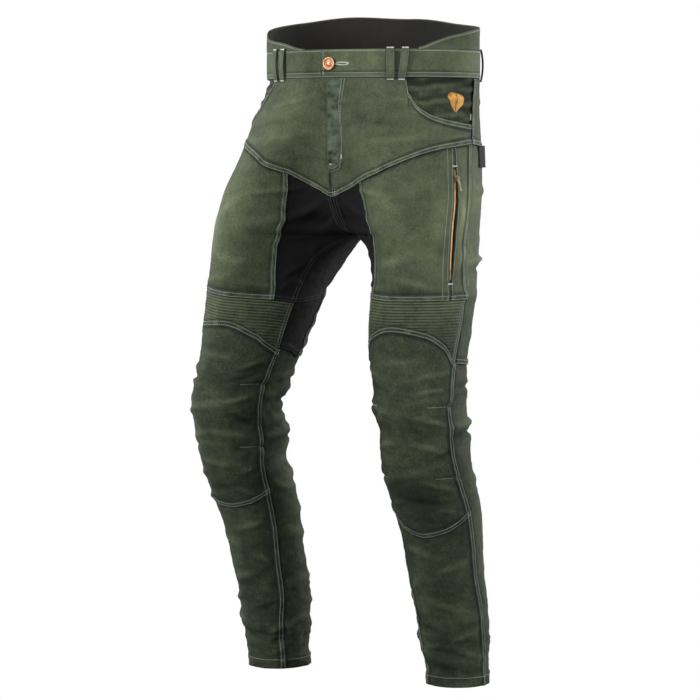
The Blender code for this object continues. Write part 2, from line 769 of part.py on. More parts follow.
def union_all(name, pieces, finish):
    """One closed body from overlapping closed pieces."""
    objects = []
    for mesh_data in pieces:
        bmesh.ops.recalc_face_normals(mesh_data, faces=mesh_data.faces)
        mesh = bpy.data.meshes.new(name + "_piece")
        mesh_data.to_mesh(mesh)
        mesh_data.free()
        piece = bpy.data.objects.new(name + "_piece", mesh)
        bpy.context.scene.collection.objects.link(piece)
        objects.append(piece)
    base = objects[0]
    for other in objects[1:]:
        join = base.modifiers.new("join", "BOOLEAN")
        join.operation = "UNION"
        join.solver = "EXACT"
        join.object = other
    bpy.context.view_layer.update()
    depsgraph = bpy.context.evaluated_depsgraph_get()
    mesh = bpy.data.meshes.new_from_object(base.evaluated_get(depsgraph))
    for piece in objects:
        bpy.data.objects.remove(piece)
    mesh.name = name
    mesh.materials.clear()
    mesh.materials.append(finish)
    node = bpy.data.objects.new(name, mesh)
    bpy.context.scene.collection.objects.link(node)
    return node


def add_slider(side, name):
    """The slider: a body over the slit with two lugs and the pin that carries the pull."""
    body = bmesh.new()
    block(body, (SLIDER_WIDE, SLIDER_THICK, SLIDER_LONG), (0, -SLIDER_THICK / 2, 0))
    bmesh.ops.bevel(body, geom=list(body.edges), offset=0.5 * MM, affect="EDGES", segments=1,
                    profile=0.5, material=-1)
    pieces = [body]
    lug_middle = SLIDER_WIDE / 2 - LUG_WIDE / 2 - 0.1 * MM
    for way in (-1, 1):
        lug = bmesh.new()
        block(lug, (LUG_WIDE, PIN_OUT + 1.2 * MM - SLIDER_THICK / 2, 3.0 * MM),
              (way * lug_middle, -(PIN_OUT + 1.2 * MM + SLIDER_THICK / 2) / 2, 0))
        pieces.append(lug)
    pin = extrude_outline(circle_points(PIN_RADIUS, (-PIN_OUT, 0), 10), lug_middle)
    pieces.append(pin)
    node = union_all(name, pieces, NICKEL)
    node.data.transform(slider_frame(side))
    if side < 0:
        node.data.flip_normals()
    return node


def add_pull(side, name):
    """The pull tab: an eye round the slider's pin and a plate that hangs down from it."""
    mesh_data = bmesh.new()
    hole = PIN_RADIUS + EYE_CLEAR
    count = 16
    half = PULL_WIDE / 2
    plate_half = PULL_THICK / 2
    down = [-math.pi / 2 + 2 * math.pi * i / count for i in range(count)]
    rings = {}
    for key, x, radius in (("outer_a", -half, EYE_RADIUS), ("hole_a", -half, hole),
                           ("outer_b", half, EYE_RADIUS), ("hole_b", half, hole)):
        rings[key] = [mesh_data.verts.new((x, radius * math.cos(a), radius * math.sin(a)))
                      for a in down]
    for i in range(count):
        j = (i + 1) % count
        mesh_data.faces.new((rings["outer_a"][i], rings["outer_a"][j],
                             rings["hole_a"][j], rings["hole_a"][i]))
        mesh_data.faces.new((rings["outer_b"][i], rings["outer_b"][j],
                             rings["hole_b"][j], rings["hole_b"][i]))
        mesh_data.faces.new((rings["outer_a"][i], rings["outer_a"][j],
                             rings["outer_b"][j], rings["outer_b"][i]))
        mesh_data.faces.new((rings["hole_a"][i], rings["hole_a"][j],
                             rings["hole_b"][j], rings["hole_b"][i]))
    plate = bmesh.new()
    block(plate, (PULL_WIDE, PULL_THICK, PULL_LONG),
          (0, 0, -EYE_RADIUS + 0.5 * MM - PULL_LONG / 2))
    ends = [e for e in plate.edges if all(v.co.z < -PULL_LONG / 2 for v in e.verts)
            and abs(e.verts[0].co.y - e.verts[1].co.y) > plate_half]
    bmesh.ops.bevel(plate, geom=ends, offset=1.4 * MM, affect="EDGES", segments=3, profile=0.5,
                    material=-1)
    node = union_all(name, [mesh_data, plate], NICKEL)
    node.data.transform(slider_frame(side) @ Matrix.Translation((0, -PIN_OUT, 0)))
    if side < 0:
        node.data.flip_normals()
    return node


TAB_TOP = -126 * MM
TAB_BOTTOM = -160 * MM
TAB_COLUMNS = (16.9, 17.5, 18.1)
TAB_LIFT = (0.8, 2.6, 5.0)


def add_side_tab():
    """A plain black tab sewn into the left side seam, standing off at its free edge."""
    outer = []
    inner = []
    for column, out in zip(TAB_COLUMNS, TAB_LIFT):
        lift = out * MM
        outer.append([cloth_point(1, column, z, lift + THIN_WALL)
                      for z in spread(TAB_TOP, TAB_BOTTOM, 3)])
        inner.append([cloth_point(1, column, z, lift) for z in spread(TAB_TOP, TAB_BOTTOM, 3)])
    wall_from_grids("side_tab", outer, inner, LABEL)


add_waistband()
add_raised_back()
for loop in LOOPS:
    add_belt_loop(*loop)
for side, suffix in ((1, "left"), (-1, "right")):
    hip_columns = (whole_columns(0, 9) + [POCKET_START]
                   + [column for column, _ in POCKET_EDGE])
    panel("front_" + suffix, side, hip_columns, lambda column: hip_levels(side, column), OLIVE)
    facing_columns = [POCKET_START - 0.8] + [column for column, _ in POCKET_EDGE]
    panel("pocket_facing_" + suffix, side, facing_columns, facing_levels, OLIVE,
          lift=-WALL - FACING_DEEP, wall=THIN_WALL)
    for label, first, last, top, bottom, finish, slit in PANELS:
        panel(label + "_" + suffix, side, whole_columns(first, last),
              lambda column, a=top, b=bottom: levels(side, column, a, b), finish, slit=slit)
    rib_band(side, "rib_band_" + suffix)
    add_zip_tape(side, "zip_tape_" + suffix)
    add_slider(side, "zip_slider_" + suffix)
    add_pull(side, "zip_pull_" + suffix)
add_fly_placket()
add_button()
add_side_tab()
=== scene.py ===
"""Riding trousers in faded olive twill with black stretch panels, worn shape with no wearer."""
import math
from functools import partial

import bmesh
import bpy
import numpy as np
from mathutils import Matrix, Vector, noise


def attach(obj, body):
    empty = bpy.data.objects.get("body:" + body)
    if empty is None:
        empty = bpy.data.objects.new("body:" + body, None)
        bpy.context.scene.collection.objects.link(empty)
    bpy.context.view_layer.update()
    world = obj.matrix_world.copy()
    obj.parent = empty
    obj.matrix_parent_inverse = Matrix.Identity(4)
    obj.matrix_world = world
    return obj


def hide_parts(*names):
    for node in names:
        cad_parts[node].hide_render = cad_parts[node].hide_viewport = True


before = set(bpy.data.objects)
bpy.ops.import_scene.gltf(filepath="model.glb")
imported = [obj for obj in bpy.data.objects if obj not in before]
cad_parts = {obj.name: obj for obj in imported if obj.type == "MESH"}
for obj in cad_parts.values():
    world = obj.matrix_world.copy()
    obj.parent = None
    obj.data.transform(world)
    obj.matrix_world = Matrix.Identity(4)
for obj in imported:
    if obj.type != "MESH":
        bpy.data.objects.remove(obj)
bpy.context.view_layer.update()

SUFFIX = {1: "left", -1: "right"}

# The worn form
# The trousers are filled out as on a body, knees a little bent.  Every panel is cut from one
# form: level sections down the body, and columns that run down the leg from the middle seam
# or the inseam (0) past the black seam, the zip and the side seam to the back (27).
MM = 0.001
SECTIONS = np.array((
    # z, front x and y, out x and y, back x and y, inner x in front and behind, inner y
    (90, 0, -134, 177, 0, 0, 134, -177, -177, 0),
    (0, 0, -134, 177, 0, 0, 134, -177, -177, 0),
    (-22, 4, -135, 177, -2, 4, 133, -170, -170, -2),
    (-57, 30, -145, 181, -15, 26, 127, -64, -120, -10),
    (-136, 84, -168, 192, -40, 60, 112, -46, -104, -30),
    (-205, 126, -194, 205, -66, 82, 90, -24, -42, -48),
    (-236, 132, -200, 209, -80, 88, 78, -12, -16, -49),
    (-262, 138, -202, 211, -90, 94, 68, 0, 0, -46),
    (-282, 142, -202, 213, -97, 102, 60, 24, 24, -46),
    (-302, 145, -201, 214, -100, 108, 52, 40, 40, -50),
    (-335, 148, -202, 217, -105, 120, 32, 54, 54, -64),
    (-372, 150, -204, 220, -110, 131, 10, 61, 61, -84),
    (-448, 156, -214, 222, -129, 145, -30, 79, 79, -115),
    (-524, 167, -221, 232, -143, 163, -61, 98, 98, -139),
    (-561, 169, -213, 231, -138, 161, -53, 99, 99, -128),
    (-618, 167, -198, 231, -121, 164, -42, 100, 100, -119),
    (-675, 165, -166, 230, -91, 166, -18, 101, 101, -92),
    (-731, 163, -134, 224, -68, 165, -2, 104, 104, -68),
    (-788, 162, -115, 219, -53, 162, 9, 105, 105, -53),
    (-845, 161, -95, 217, -34, 161, 26, 106, 106, -33),
    (-890, 162, -86, 216, -28, 163, 28, 112, 112, -28),
    (-965, 164, -68, 212, -17, 164, 35, 116, 116, -17),
), float)[::-1]
SEAMS = np.array((
    # z, then degrees round the section: inseam, black seam, zip seam, side seam, back black seam
    (90, 0, -78, -27, 3, 64),
    (0, 0, -78, -27, 3, 64),
    (-57, 0, -84, -24, 3, 76),
    (-125, 0, -98, -17, 3, 94),
    (-205, 0, -113, -16, 3, 114),
    (-262, 0, -114, -17, 3, 130),
    (-276, 15, -116, -17, 3, 136),
    (-300, 25, -122, -18, 3, 145),
    (-372, 25, -133, -22, 2, 160),
    (-450, 21, -128, -26, -5, 168),
    (-561, 24, -122, -38, -17, 176),
    (-700, 33, -118, -34, -10, 184),
    (-965, 45, -110, -25, 0, 192),
), float)[::-1]
FRONT_HOLLOW = np.array(((90, 0), (-22, 0), (-57, 0.2), (-136, 0.9), (-205, 1.1), (-236, 1.1),
                         (-262, 0.7), (-302, 0.35), (-360, 0.2), (-448, 0), (-965, 0)),
                        float)[::-1]
HOLLOW_SHAPE = 1.4
CROTCH_Z = -262 * MM
BAND_BOTTOM = -22 * MM
BAND_TOP = 22 * MM
SEAM_COLUMNS = (0, 5, 13, 16, 23, 27)
CROSS_COLUMNS = (0, 2, 5, 8, 11, 13, 16, 20, 23, 27)
CROSS_SEAMS = {
    "band": ((-22,) * 10,) * 2,
    "yoke": ((-205, -197, -182, -158, -136, -129, -125, -142, -170, -210),
             (-205, -194, -170, -141, -126, -122, -120, -138, -168, -210)),
    "ribs": ((-360,) * 10, (-371, -369, -366, -360, -354, -352, -352, -356, -362, -371)),
    "knee": ((-446, -435, -414, -397, -406, -425, -455, -464, -460, -446),
             (-442, -434, -418, -396, -399, -418, -451, -460, -456, -442)),
    "shin": ((-680, -693, -711, -723, -715, -704, -688, -684, -680, -680),
             (-670, -678, -688, -695, -690, -684, -674, -672, -670, -670)),
    "hem": ((-965,) * 10,) * 2,
}
# side (1 left, -1 right, 0 both), column, z, half sizes across and along, slope, height in mm
FOLDS = (
    (0, 4, -232, 4, 7, 7, 4), (0, 3, -258, 3, 6, 8, 3.5), (0, 24, -240, 4, 10, -7, 5),
    (0, 22, -505, 6, 12, 1.5, 6), (0, 22.5, -545, 5, 11, -1.5, -5), (0, 21.5, -580, 6, 12, 1, 6),
    (0, 22, -618, 5, 11, 1, -4), (0, 1.5, -520, 3, 10, -3, 4), (0, 1, -560, 3, 10, -3, -4),
    (1, 15.5, -352, 4, 8, 2, 4), (1, 16, -520, 3, 12, -2, -5), (1, 17, -560, 4, 12, 2, 4),
    (-1, 14, -500, 3, 10, -1, -4), (1, 7, -922, 9, 9, 1, 4), (1, 6, -940, 9, 8, 1, -4),
    (-1, 7, -893, 9, 9, -1, 4), (-1, 6, -912, 9, 8, -1, -4.5), (0, 22, -900, 8, 12, 1, 4),
    (0, 21, -935, 8, 9, 1, -3), (0, 7, -800, 6, 14, 3, 2.5),
)
# The same columns for the smaller creases that only the cloth shows.
CREASES = (
    (1, 18, -300, 2.5, 4, -2, 3), (1, 18, -314, 2.5, 4, -2, -2), (1, 18, -492, 3, 5, 2, -3),
    (1, 17.5, -545, 3, 5, -2, 3.5), (1, 17.5, -562, 3, 5, -2, -2.5),
    (-1, 12.5, -486, 2.5, 4, 2, -2.5), (-1, 23, -484, 4, 6, 1.5, 3),
    (-1, 23, -524, 4, 5, -1.5, -3.5), (-1, 23, -552, 4, 6, 1, 2.5), (-1, 23, -586, 4, 5, 1, -3),
    (0, 5.5, -196, 3.5, 4, 3, 1.2), (0, 8.5, -118, 3, 5, -2, 1.3), (0, 7, -92, 4, 4, 2.5, -1),
    (1, 10, -60, 3, 4, 3, 1), (1, 3, -60, 3, 3, -2.5, 1.1), (1, 3.5, -95, 3, 3, -2, -1),
    (-1, 5, -55, 4, 4, 3.5, 1.2), (-1, 4.5, -110, 3.5, 4, 3, 1.2), (0, 14, -112, 2.5, 3, -2, 0.9),
    (0, 20, -60, 4, 5, 1.5, 1.2), (0, 22, -150, 5, 6, -3, 1.6), (0, 19, -200, 4, 7, 4, 1.8),
    (0, 21, -255, 5, 8, -5, 2.2), (0, 20, -310, 4, 8, 3, 2), (0, 22, -350, 5, 8, 4, -1.8),
    (0, 20, -410, 5, 9, -2, 2), (0, 23, -440, 4, 7, 3, 1.8), (0, 7.5, -215, 2, 10, 9, 1.2),
    (0, 11.5, -250, 1.6, 22, 6, 1), (0, 8, -300, 2.5, 9, -5, 1.3), (0, 10, -335, 3, 5, 3, 1.4),
    (0, 6, -342, 2, 4, -3, 1.2), (0, 14.5, -230, 1.3, 14, 5, 1),
    (0, 15.2, -295, 1.2, 10, -6, 1.2), (0, 1.5, -290, 1.8, 5, -7, 1.5),
    (0, 2.5, -318, 2.2, 5, 6, 1.6), (0, 1.2, -338, 1.6, 4, -5, 1.4), (0, 3.4, -225, 2, 5, 8, 1.8),
    (0, 2, -242, 2, 4, 9, -1.6), (0, 3.5, -346, 2, 4, 3, 1.2), (0, 4, -465, 3, 4, 3.5, 1.5),
    (0, 5, -488, 3.5, 4, 3, -1.2), (0, 8.5, -452, 4, 6, -1.5, 1.2),
    (0, 12.5, -470, 3, 5, -3, 1.6), (0, 11.5, -495, 3.5, 4, -2.5, 1.5),
    (0, 4.5, -520, 3.5, 5, 3, 1.8), (0, 9, -530, 4, 7, 1, 1.2), (0, 12.5, -540, 3.5, 5, 3, 1.6),
    (0, 3.5, -552, 3, 5, -3, -1.5), (0, 5.5, -575, 4, 6, -2, 1.8), (0, 11, -578, 4, 6, 2.5, 1.5),
    (0, 13.5, -592, 2.5, 4, -4, -1.4), (0, 7.5, -622, 4.5, 6, -1.5, 1.4),
    (0, 3.5, -632, 3, 4, 3, 1.4), (0, 12, -640, 3.5, 5, 3.5, 1.5), (0, 9, -665, 4, 5, 2, -1.3),
    (0, 5, -668, 3, 4, -2.5, 1.3), (0, 12.5, -680, 3, 4, 3, 1.2), (1, 7, -748, 4, 7, 3.5, 1.8),
    (1, 11.5, -770, 3.5, 6, -4, 1.6), (1, 4.5, -800, 3, 7, -5, 1.6), (1, 9.5, -835, 4, 8, 4, 1.9),
    (1, 5, -868, 4, 6, 3, -1.6), (1, 12, -880, 3.5, 6, -3, 1.8), (1, 13, -915, 4, 5, 3, 1.8),
    (1, 4, -905, 4, 5, -2, 2), (-1, 6, -725, 4, 6, 3, 1.8), (-1, 10.5, -752, 3.5, 7, -4, 2),
    (-1, 4, -780, 3, 6, -4, 1.6), (-1, 9, -812, 4, 7, 3, 1.8), (-1, 12, -850, 3.5, 6, 3.5, 2.2),
    (-1, 5, -862, 4, 5, 2.5, -1.8), (-1, 11, -880, 4, 5, -3, 2.2), (-1, 3, -900, 4, 4, 2, 2.4),
    (-1, 2, -918, 4, 4, 2, -2.6), (-1, 2.5, -934, 4, 4, 1.5, 2.2), (0, 20.5, -700, 4, 8, 3, 1.8),
    (0, 23, -740, 4, 9, -3, 2), (0, 19.5, -785, 3.5, 8, 3, 1.8), (0, 23.5, -820, 4, 8, 2.5, 2),
    (0, 20, -862, 4, 7, -3, 2), (0, 24, -885, 4, 6, 3, 2.2), (0, 19.5, -495, 4, 7, 3.5, 2.2),
    (0, 24.5, -520, 4, 7, -3, 2.2), (0, 19, -555, 4, 6, -2.5, -1.8), (0, 24.5, -575, 4, 6, 3, 2),
    (0, 20, -640, 4.5, 8, 2.5, 2), (0, 24, -660, 4, 7, -2.5, 1.8),
)


def clamp(values):
    """Values held between 0 and 1."""
    return np.clip(values, 0, 1)


def bell(place, width):
    """A smooth hill, 1 in the middle and almost 0 past twice its width."""
    return np.exp(-(place / width) ** 2)


def read_table(rows, place):
    """Smooth values of a table's columns at many places along its first column."""
    first = rows[:, 0]
    place = np.clip(place, first[0], first[-1])
    k = np.clip(np.searchsorted(first, place, side="right") - 1, 0, len(first) - 2)
    steps = np.diff(first)
    slopes = np.diff(rows[:, 1:], axis=0) / steps[:, None]
    ends = np.zeros((len(first), rows.shape[1] - 1))
    product = slopes[:-1] * slopes[1:]
    total = slopes[:-1] + slopes[1:]
    total[product <= 0] = 1.0
    ends[1:-1] = np.where(product > 0, 2 * product / total, 0.0)
    t = ((place - first[k]) / steps[k])[..., None]
    span = steps[k][..., None]
    a = rows[k, 1:]
    b = rows[k + 1, 1:]
    values = ((2 * t ** 3 - 3 * t ** 2 + 1) * a + (t ** 3 - 2 * t ** 2 + t) * span * ends[k]
              + (3 * t ** 2 - 2 * t ** 3) * b + (t ** 3 - t ** 2) * span * ends[k + 1])
    return np.moveaxis(values, -1, 0)


def cross_height(side, seam, column):
    """Height of a cross seam at columns."""
    heights = CROSS_SEAMS[seam][0 if side > 0 else 1]
    rows = np.array((CROSS_COLUMNS, heights), float).T
    return read_table(rows, np.asarray(column, float))[0] * MM


def form_points(column, z):
    """Points of the left half's bare form at columns and heights."""
    column, z = np.broadcast_arrays(np.asarray(column, float), np.asarray(z, float))
    front_x, front_y, out_x, out_y, back_x, back_y, in_front, in_back, in_y = read_table(
        SECTIONS, z / MM)
    inseam, black, zip_seam, side_seam, back_black = read_table(SEAMS, z / MM)
    above = z > CROTCH_Z
    start = np.where(above, -180 + np.degrees(np.arccos(np.clip(
        front_x / (front_x - in_front), -1, 1))), -180 + inseam)
    end = np.where(above, 180 - np.degrees(np.arccos(np.clip(
        back_x / (back_x - in_back), -1, 1))), 180 + inseam)
    stops = (start, black, zip_seam, side_seam, back_black, end)
    angle = np.zeros_like(z)
    for k in range(5):
        c0 = SEAM_COLUMNS[k]
        c1 = SEAM_COLUMNS[k + 1]
        part = stops[k] + (stops[k + 1] - stops[k]) * (column - c0) / (c1 - c0)
        inside = (column > c0) if k else np.full(z.shape, True)
        angle = np.where(inside, part, angle)
    cosine = np.cos(np.radians(angle))
    sine = np.sin(np.radians(angle))
    ahead = sine < 0
    middle_x = np.where(ahead, front_x, back_x)
    deep_y = np.where(ahead, front_y, back_y)
    inner_x = np.where(ahead, in_front, in_back)
    outside = cosine > 0
    x = middle_x + np.where(outside, out_x - middle_x, middle_x - inner_x) * cosine
    base_y = np.where(outside, out_y, in_y)
    y = base_y + np.abs(deep_y - base_y) * sine
    hollow = read_table(FRONT_HOLLOW, z / MM)[0]
    start_x = np.maximum(in_front, 0)
    apply = ahead & (x > start_x) & (x < front_x) & (hollow > 0)
    start_cosine = np.clip((front_x - start_x) / (front_x - in_front), -1, 1)
    middle_y = in_y + (front_y - in_y) * np.sqrt(1 - start_cosine ** 2)
    width = np.where(front_x - start_x > 1, front_x - start_x, 1.0)
    share = clamp((x - start_x) / width) ** HOLLOW_SHAPE
    rise = share * share * (3 - 2 * share)
    y = np.where(apply, y + hollow * (middle_y + (front_y - middle_y) * rise - y), y)
    return np.stack((x * MM, y * MM, z), axis=-1)


def bump(place, half_size):
    """A soft hill, 1 in the middle and 0 past its half size."""
    t = clamp(np.abs(place) / half_size)
    return 0.5 + 0.5 * np.cos(np.pi * t)


def fold_lift(side, column, z, rows, long=1.0):
    """How far a list of folds lifts the cloth."""
    total = np.zeros(np.broadcast(column, z).shape)
    for way, middle, height_z, across, along, slope, height in rows:
        if way * side < 0:
            continue
        off = column - middle
        drop = z / MM - height_z + slope * off
        total += height * bump(off, across) * bump(drop, 2 * along * long)
    return total * MM


def unit(vectors):
    """Vectors at length 1."""
    return vectors / np.maximum(np.linalg.norm(vectors, axis=-1, keepdims=True), 1e-12)


def form_frame(column, z):
    """Points, outward normals and tangents round the left half's form."""
    round_way = unit(form_points(column + 0.02, z) - form_points(column - 0.02, z))
    up_way = form_points(column, z + 0.5 * MM) - form_points(column, z - 0.5 * MM)
    normal = unit(np.cross(round_way, up_way))
    return form_points(column, z), normal, round_way


def uneven(points, size, seed):
    """A smooth random height, -1 to 1, of a given size, the same each run."""
    flat = points.reshape(-1, 3) / size
    shift = Vector((seed * 7.3, seed * 3.1, seed * 1.7))
    values = [noise.noise(Vector(p) + shift) for p in flat.tolist()]
    return np.array(values).reshape(points.shape[:-1])


CREASE_LONG = 0.8
WRINKLE_HEIGHTS = ((-1000, 1.5), (-930, 1.6), (-880, 1.3), (-800, 0.9), (-700, 0.7),
                   (-620, 0.9), (-540, 1.1), (-470, 0.9), (-400, 0.5), (-340, 0.7),
                   (-260, 0.45), (-180, 0.45), (-100, 0.55), (-30, 0.45), (30, 0.3))


def wrinkles(side, column, z, points):
    """Sharp little level creases, deepest at the ankle and the bend of the knee."""
    rows = np.array(WRINKLE_HEIGHTS)
    strength = np.interp(z / MM, rows[:, 0], rows[:, 1])
    place = points * (side, 1, 1)
    warp = uneven(place, 0.06, 7) * 0.5
    long_ones = uneven(place * (0.34, 0.34, 1.0) + np.stack(
        (warp, warp, warp * 0.35), axis=-1) * 0.02, 0.013, 3)
    short_ones = uneven(place * (0.5, 0.5, 1.0), 0.0065, 4)
    ridges = 1 - np.abs(long_ones) * 2.6
    sharp = np.clip(ridges, -0.6, 1.0) + 0.45 * (1 - np.abs(short_ones) * 2.6)
    behind = 1 + 0.6 * bump(column - 22, 6.5) * (z < CROTCH_Z)
    return 0.62 * MM * strength * behind * sharp


def unevenness(side, points):
    """Broad, barely seen waves in the cloth."""
    return 0.9 * MM * uneven(points * (side, 1, 1), 0.055, 1)


def surface_lift(side, column, z, points):
    """How far the worn cloth stands from the bare form, before its seams."""
    return (fold_lift(side, column, z, FOLDS) + fold_lift(side, column, z, CREASES, CREASE_LONG) * 1.9
            + unevenness(side, points) + wrinkles(side, column, z, points))


def grid_between(tops, lows, down):
    """Heights of a grid that runs from its top line to its low line."""
    return tops[None, :] + (lows - tops)[None, :] * down[:, None]


def run_length(points, axis):
    """Distance over a grid of points, from its first row (0) or its first column (1)."""
    steps = np.linalg.norm(np.diff(points, axis=axis), axis=-1)
    return np.insert(np.cumsum(steps, axis=axis), 0, 0.0, axis=axis)


def steps_dense_at_ends(length, count):
    """Places from 0 to 1 along a length in metres, closer together near both ends."""
    near = np.array((0, 0.5, 1.2, 2.2, 4.0, 6.0, 7.6, 8.6, 9.6, 11.0, 13.5)) * MM / length
    inside = np.linspace(near[-1], 1 - near[-1], max(count, 3))
    return np.unique(np.concatenate((near, inside, 1 - near)).round(6))


# Olive twill
# Garment-dyed, washed cotton twill with elastane, lighter over the thighs than below, its seams
# bleached to a cold blue grey.  It is matt, with a soft nap, and its colour is mottled, not even.
def srgb(code):
    """Linear colour from an sRGB hex value."""
    channels = [int(code[i:i + 2], 16) / 255 for i in (1, 3, 5)]
    linear = [c / 12.92 if c <= 0.04045 else ((c + 0.055) / 1.055) ** 2.4 for c in channels]
    return (*linear, 1.0)


def set_inputs(node, inputs):
    """Give a node its values and links."""
    for name, value in inputs.items():
        if isinstance(value, bpy.types.NodeSocket):
            node.id_data.links.new(value, node.inputs[name])
        else:
            node.inputs[name].default_value = value


def add_node(tree, kind, settings=None, inputs=None):
    """Add a shader node with its settings, values and links."""
    node = tree.nodes.new(kind)
    for name, value in (settings or {}).items():
        setattr(node, name, value)
    set_inputs(node, inputs or {})
    return node


def noise_value(tree, place, scale, detail, roughness=0.5):
    """Noise of one size, 0 to 1."""
    return add_node(tree, "ShaderNodeTexNoise", inputs={
        "Vector": place, "Scale": scale, "Detail": detail, "Roughness": roughness}).outputs["Fac"]


def multiply_add(tree, value, factor, addend):
    """A value times a factor, added to another."""
    return add_node(tree, "ShaderNodeMath", {"operation": "MULTIPLY_ADD"},
                    {0: value, 1: factor, 2: addend}).outputs[0]


def relief(tree, strength, distance, height, **below):
    """Normals for a fine relief, over the relief below it."""
    return add_node(tree, "ShaderNodeBump", inputs={
        "Strength": strength, "Distance": distance, "Height": height, **below}).outputs["Normal"]


def new_material(name):
    """A material, its tree and shader, and the place of each point."""
    material = bpy.data.materials.new(name)
    material.use_nodes = True
    tree = material.node_tree
    place = add_node(tree, "ShaderNodeTexCoord").outputs["Object"]
    return material, tree, tree.nodes["Principled BSDF"], place


def color_steps(tree, factor, stops):
    """A colour ramp from places and hex colours."""
    ramp = add_node(tree, "ShaderNodeValToRGB", inputs={"Fac": factor})
    elements = ramp.color_ramp.elements
    while len(elements) < len(stops):
        elements.new(0.5)
    for element, (place, code) in zip(elements, stops):
        element.position = place
        element.color = srgb(code)
    return ramp.outputs["Color"]


TWILL_THREADS = 900.0   # lines a metre: about 1.1 mm, coarser than real twill so that it shows
CLOUD = 0.42
BLOTCH = 0.24
STREAK = 0.14


def twill(name, shades, seam_code, grain, sheen):
    """Woven cotton: mottled wash, its tone set by wear and painted light, with a fine diagonal rib.
    """
    material, tree, shader, place = new_material(name)
    uv = add_node(tree, "ShaderNodeUVMap", {"uv_map": "cloth"}).outputs["UV"]
    # The wear attribute holds real fading together with painted light and shade.
    wear_and_painted_light = add_node(tree, "ShaderNodeAttribute", {"attribute_name": "wear_and_painted_light"}).outputs["Fac"]
    seam = add_node(tree, "ShaderNodeAttribute", {"attribute_name": "seam"}).outputs["Fac"]
    blotch = noise_value(tree, place, 70.0, 4.0, 0.65)
    fine = noise_value(tree, place, 620.0, 2.0, 0.7)
    streak_place = add_node(tree, "ShaderNodeMapping", inputs={
        "Vector": uv, "Scale": (260.0, 28.0, 1.0)}).outputs["Vector"]
    total = multiply_add(tree, noise_value(tree, place, 16.0, 5.0, 0.6), CLOUD, wear_and_painted_light)
    total = multiply_add(tree, blotch, BLOTCH, total)
    total = multiply_add(tree, fine, grain, total)
    total = multiply_add(tree, noise_value(tree, streak_place, 1.0, 3.0, 0.6), STREAK, total)
    level = add_node(tree, "ShaderNodeMath", {"operation": "SUBTRACT", "use_clamp": True},
                     {0: total, 1: (CLOUD + BLOTCH + grain + STREAK) / 2}).outputs[0]
    mixed = add_node(tree, "ShaderNodeMix", {"data_type": "RGBA"}, {
        "Factor": seam, 6: color_steps(tree, level, shades), 7: srgb(seam_code)}).outputs[2]
    rib_place = add_node(tree, "ShaderNodeMapping", inputs={
        "Vector": uv, "Rotation": (0, 0, math.radians(63))}).outputs["Vector"]
    rib = add_node(tree, "ShaderNodeTexWave", {"wave_type": "BANDS"}, {
        "Vector": rib_place, "Scale": TWILL_THREADS / math.tau * 2, "Distortion": 1.2,
        "Detail": 2.0}).outputs["Fac"]
    weave = relief(tree, 0.6, 0.35 * MM, multiply_add(tree, fine, 0.9, rib))
    set_inputs(shader, {
        "Base Color": mixed, "Roughness": 0.92, "Specular IOR Level": 0.25, "Sheen Weight": sheen,
        "Sheen Roughness": 0.5, "Normal": relief(tree, 0.7, 2.2 * MM, blotch, Normal=weave)})
    return material


OLIVE = twill("washed_olive_twill",
              ((0.0, "#0d100b"), (0.25, "#23281c"), (0.5, "#414835"), (0.75, "#5e664d"),
               (1.0, "#7d846a")), "#46534c", 0.62, 0.0)


# Cloth panels
# Each panel is cut flat and eased to the form, its edges turned under and lapped over the
# next piece: a lap 9 mm wide stands proud along the seam, puckered by its two rows of thread.
LAP_WIDTH = 9.0 * MM
LAP_LIFT = 1.2 * MM
CLOTH_THICK = 1.3 * MM
built = {}


def lap_profile(distance, kind):
    """How far an edge stands out: a raised lap, or the flat edge that lies under one."""
    if kind == "lap":
        inner = 1 - clamp((distance - LAP_WIDTH) / (1.6 * MM))
        edge = clamp(distance / (0.7 * MM))
        return LAP_LIFT * (inner ** 2 * (3 - 2 * inner)) * (0.45 + 0.55 * edge)
    return -0.45 * MM * clamp(1 - distance / (2.2 * MM))


def pucker(distance, along, seed):
    """Small cross ridges that the thread pulls into the cloth beside a seam."""
    wave = (np.sin(along / (2.6 * MM) + seed) + 0.7 * np.sin(along / (1.55 * MM) + 2.1 * seed)
            + 0.8 * np.sin(along / (4.9 * MM) + 0.6 * seed))
    return 0.2 * MM * wave * bell(distance, 9.0 * MM)


# Lighter over the hips and thighs, darker towards the hem.
TONE_HEIGHTS = ((-1000, 0.26), (-900, 0.26), (-780, 0.28), (-690, 0.29), (-600, 0.29),
                (-480, 0.28), (-400, 0.35), (-350, 0.44), (-300, 0.50), (-230, 0.52),
                (-170, 0.48), (-100, 0.45), (-30, 0.44), (30, 0.44))
# Partly fading, partly painted light and shade, as on the lit sides of the thighs.
# side, column, z, half sizes across and along, change of tone
WEAR_AND_LIGHT_PLACES = (
    (-1, 11, -240, 4.5, 90, 0.21), (-1, 7, -220, 3, 70, 0.07), (1, 9, -215, 3.5, 60, -0.07),
    (1, 14.8, -240, 2.2, 100, 0.17), (0, 8, -345, 5, 20, -0.10), (-1, 14.5, -240, 3, 90, 0.10),
    (-1, 6.5, -90, 5, 60, 0.07), (1, 6.5, -75, 4, 50, -0.02), (0, 7, -520, 4, 30, 0.06),
    (0, 9, -590, 5, 40, 0.04), (0, 6, -655, 6, 26, -0.07), (0, 3, -440, 3, 60, -0.06),
    (-1, 9.5, -780, 2.2, 55, 0.13), (1, 4, -760, 4, 60, -0.05), (0, 22, -300, 6, 90, 0.08),
    (0, 22, -530, 6, 60, -0.06), (1, 19, -760, 5, 120, 0.12), (-1, 3, -760, 4, 90, -0.04),
    (1, 12.5, -800, 3, 90, 0.05), (-1, 22, -600, 5, 120, 0.10), (0, 12.5, -560, 3, 60, 0.07),
    (-1, 12, -230, 3, 110, 0.10), (1, 15, -230, 2, 110, 0.08), (0, 7, -430, 5, 30, -0.05),
)


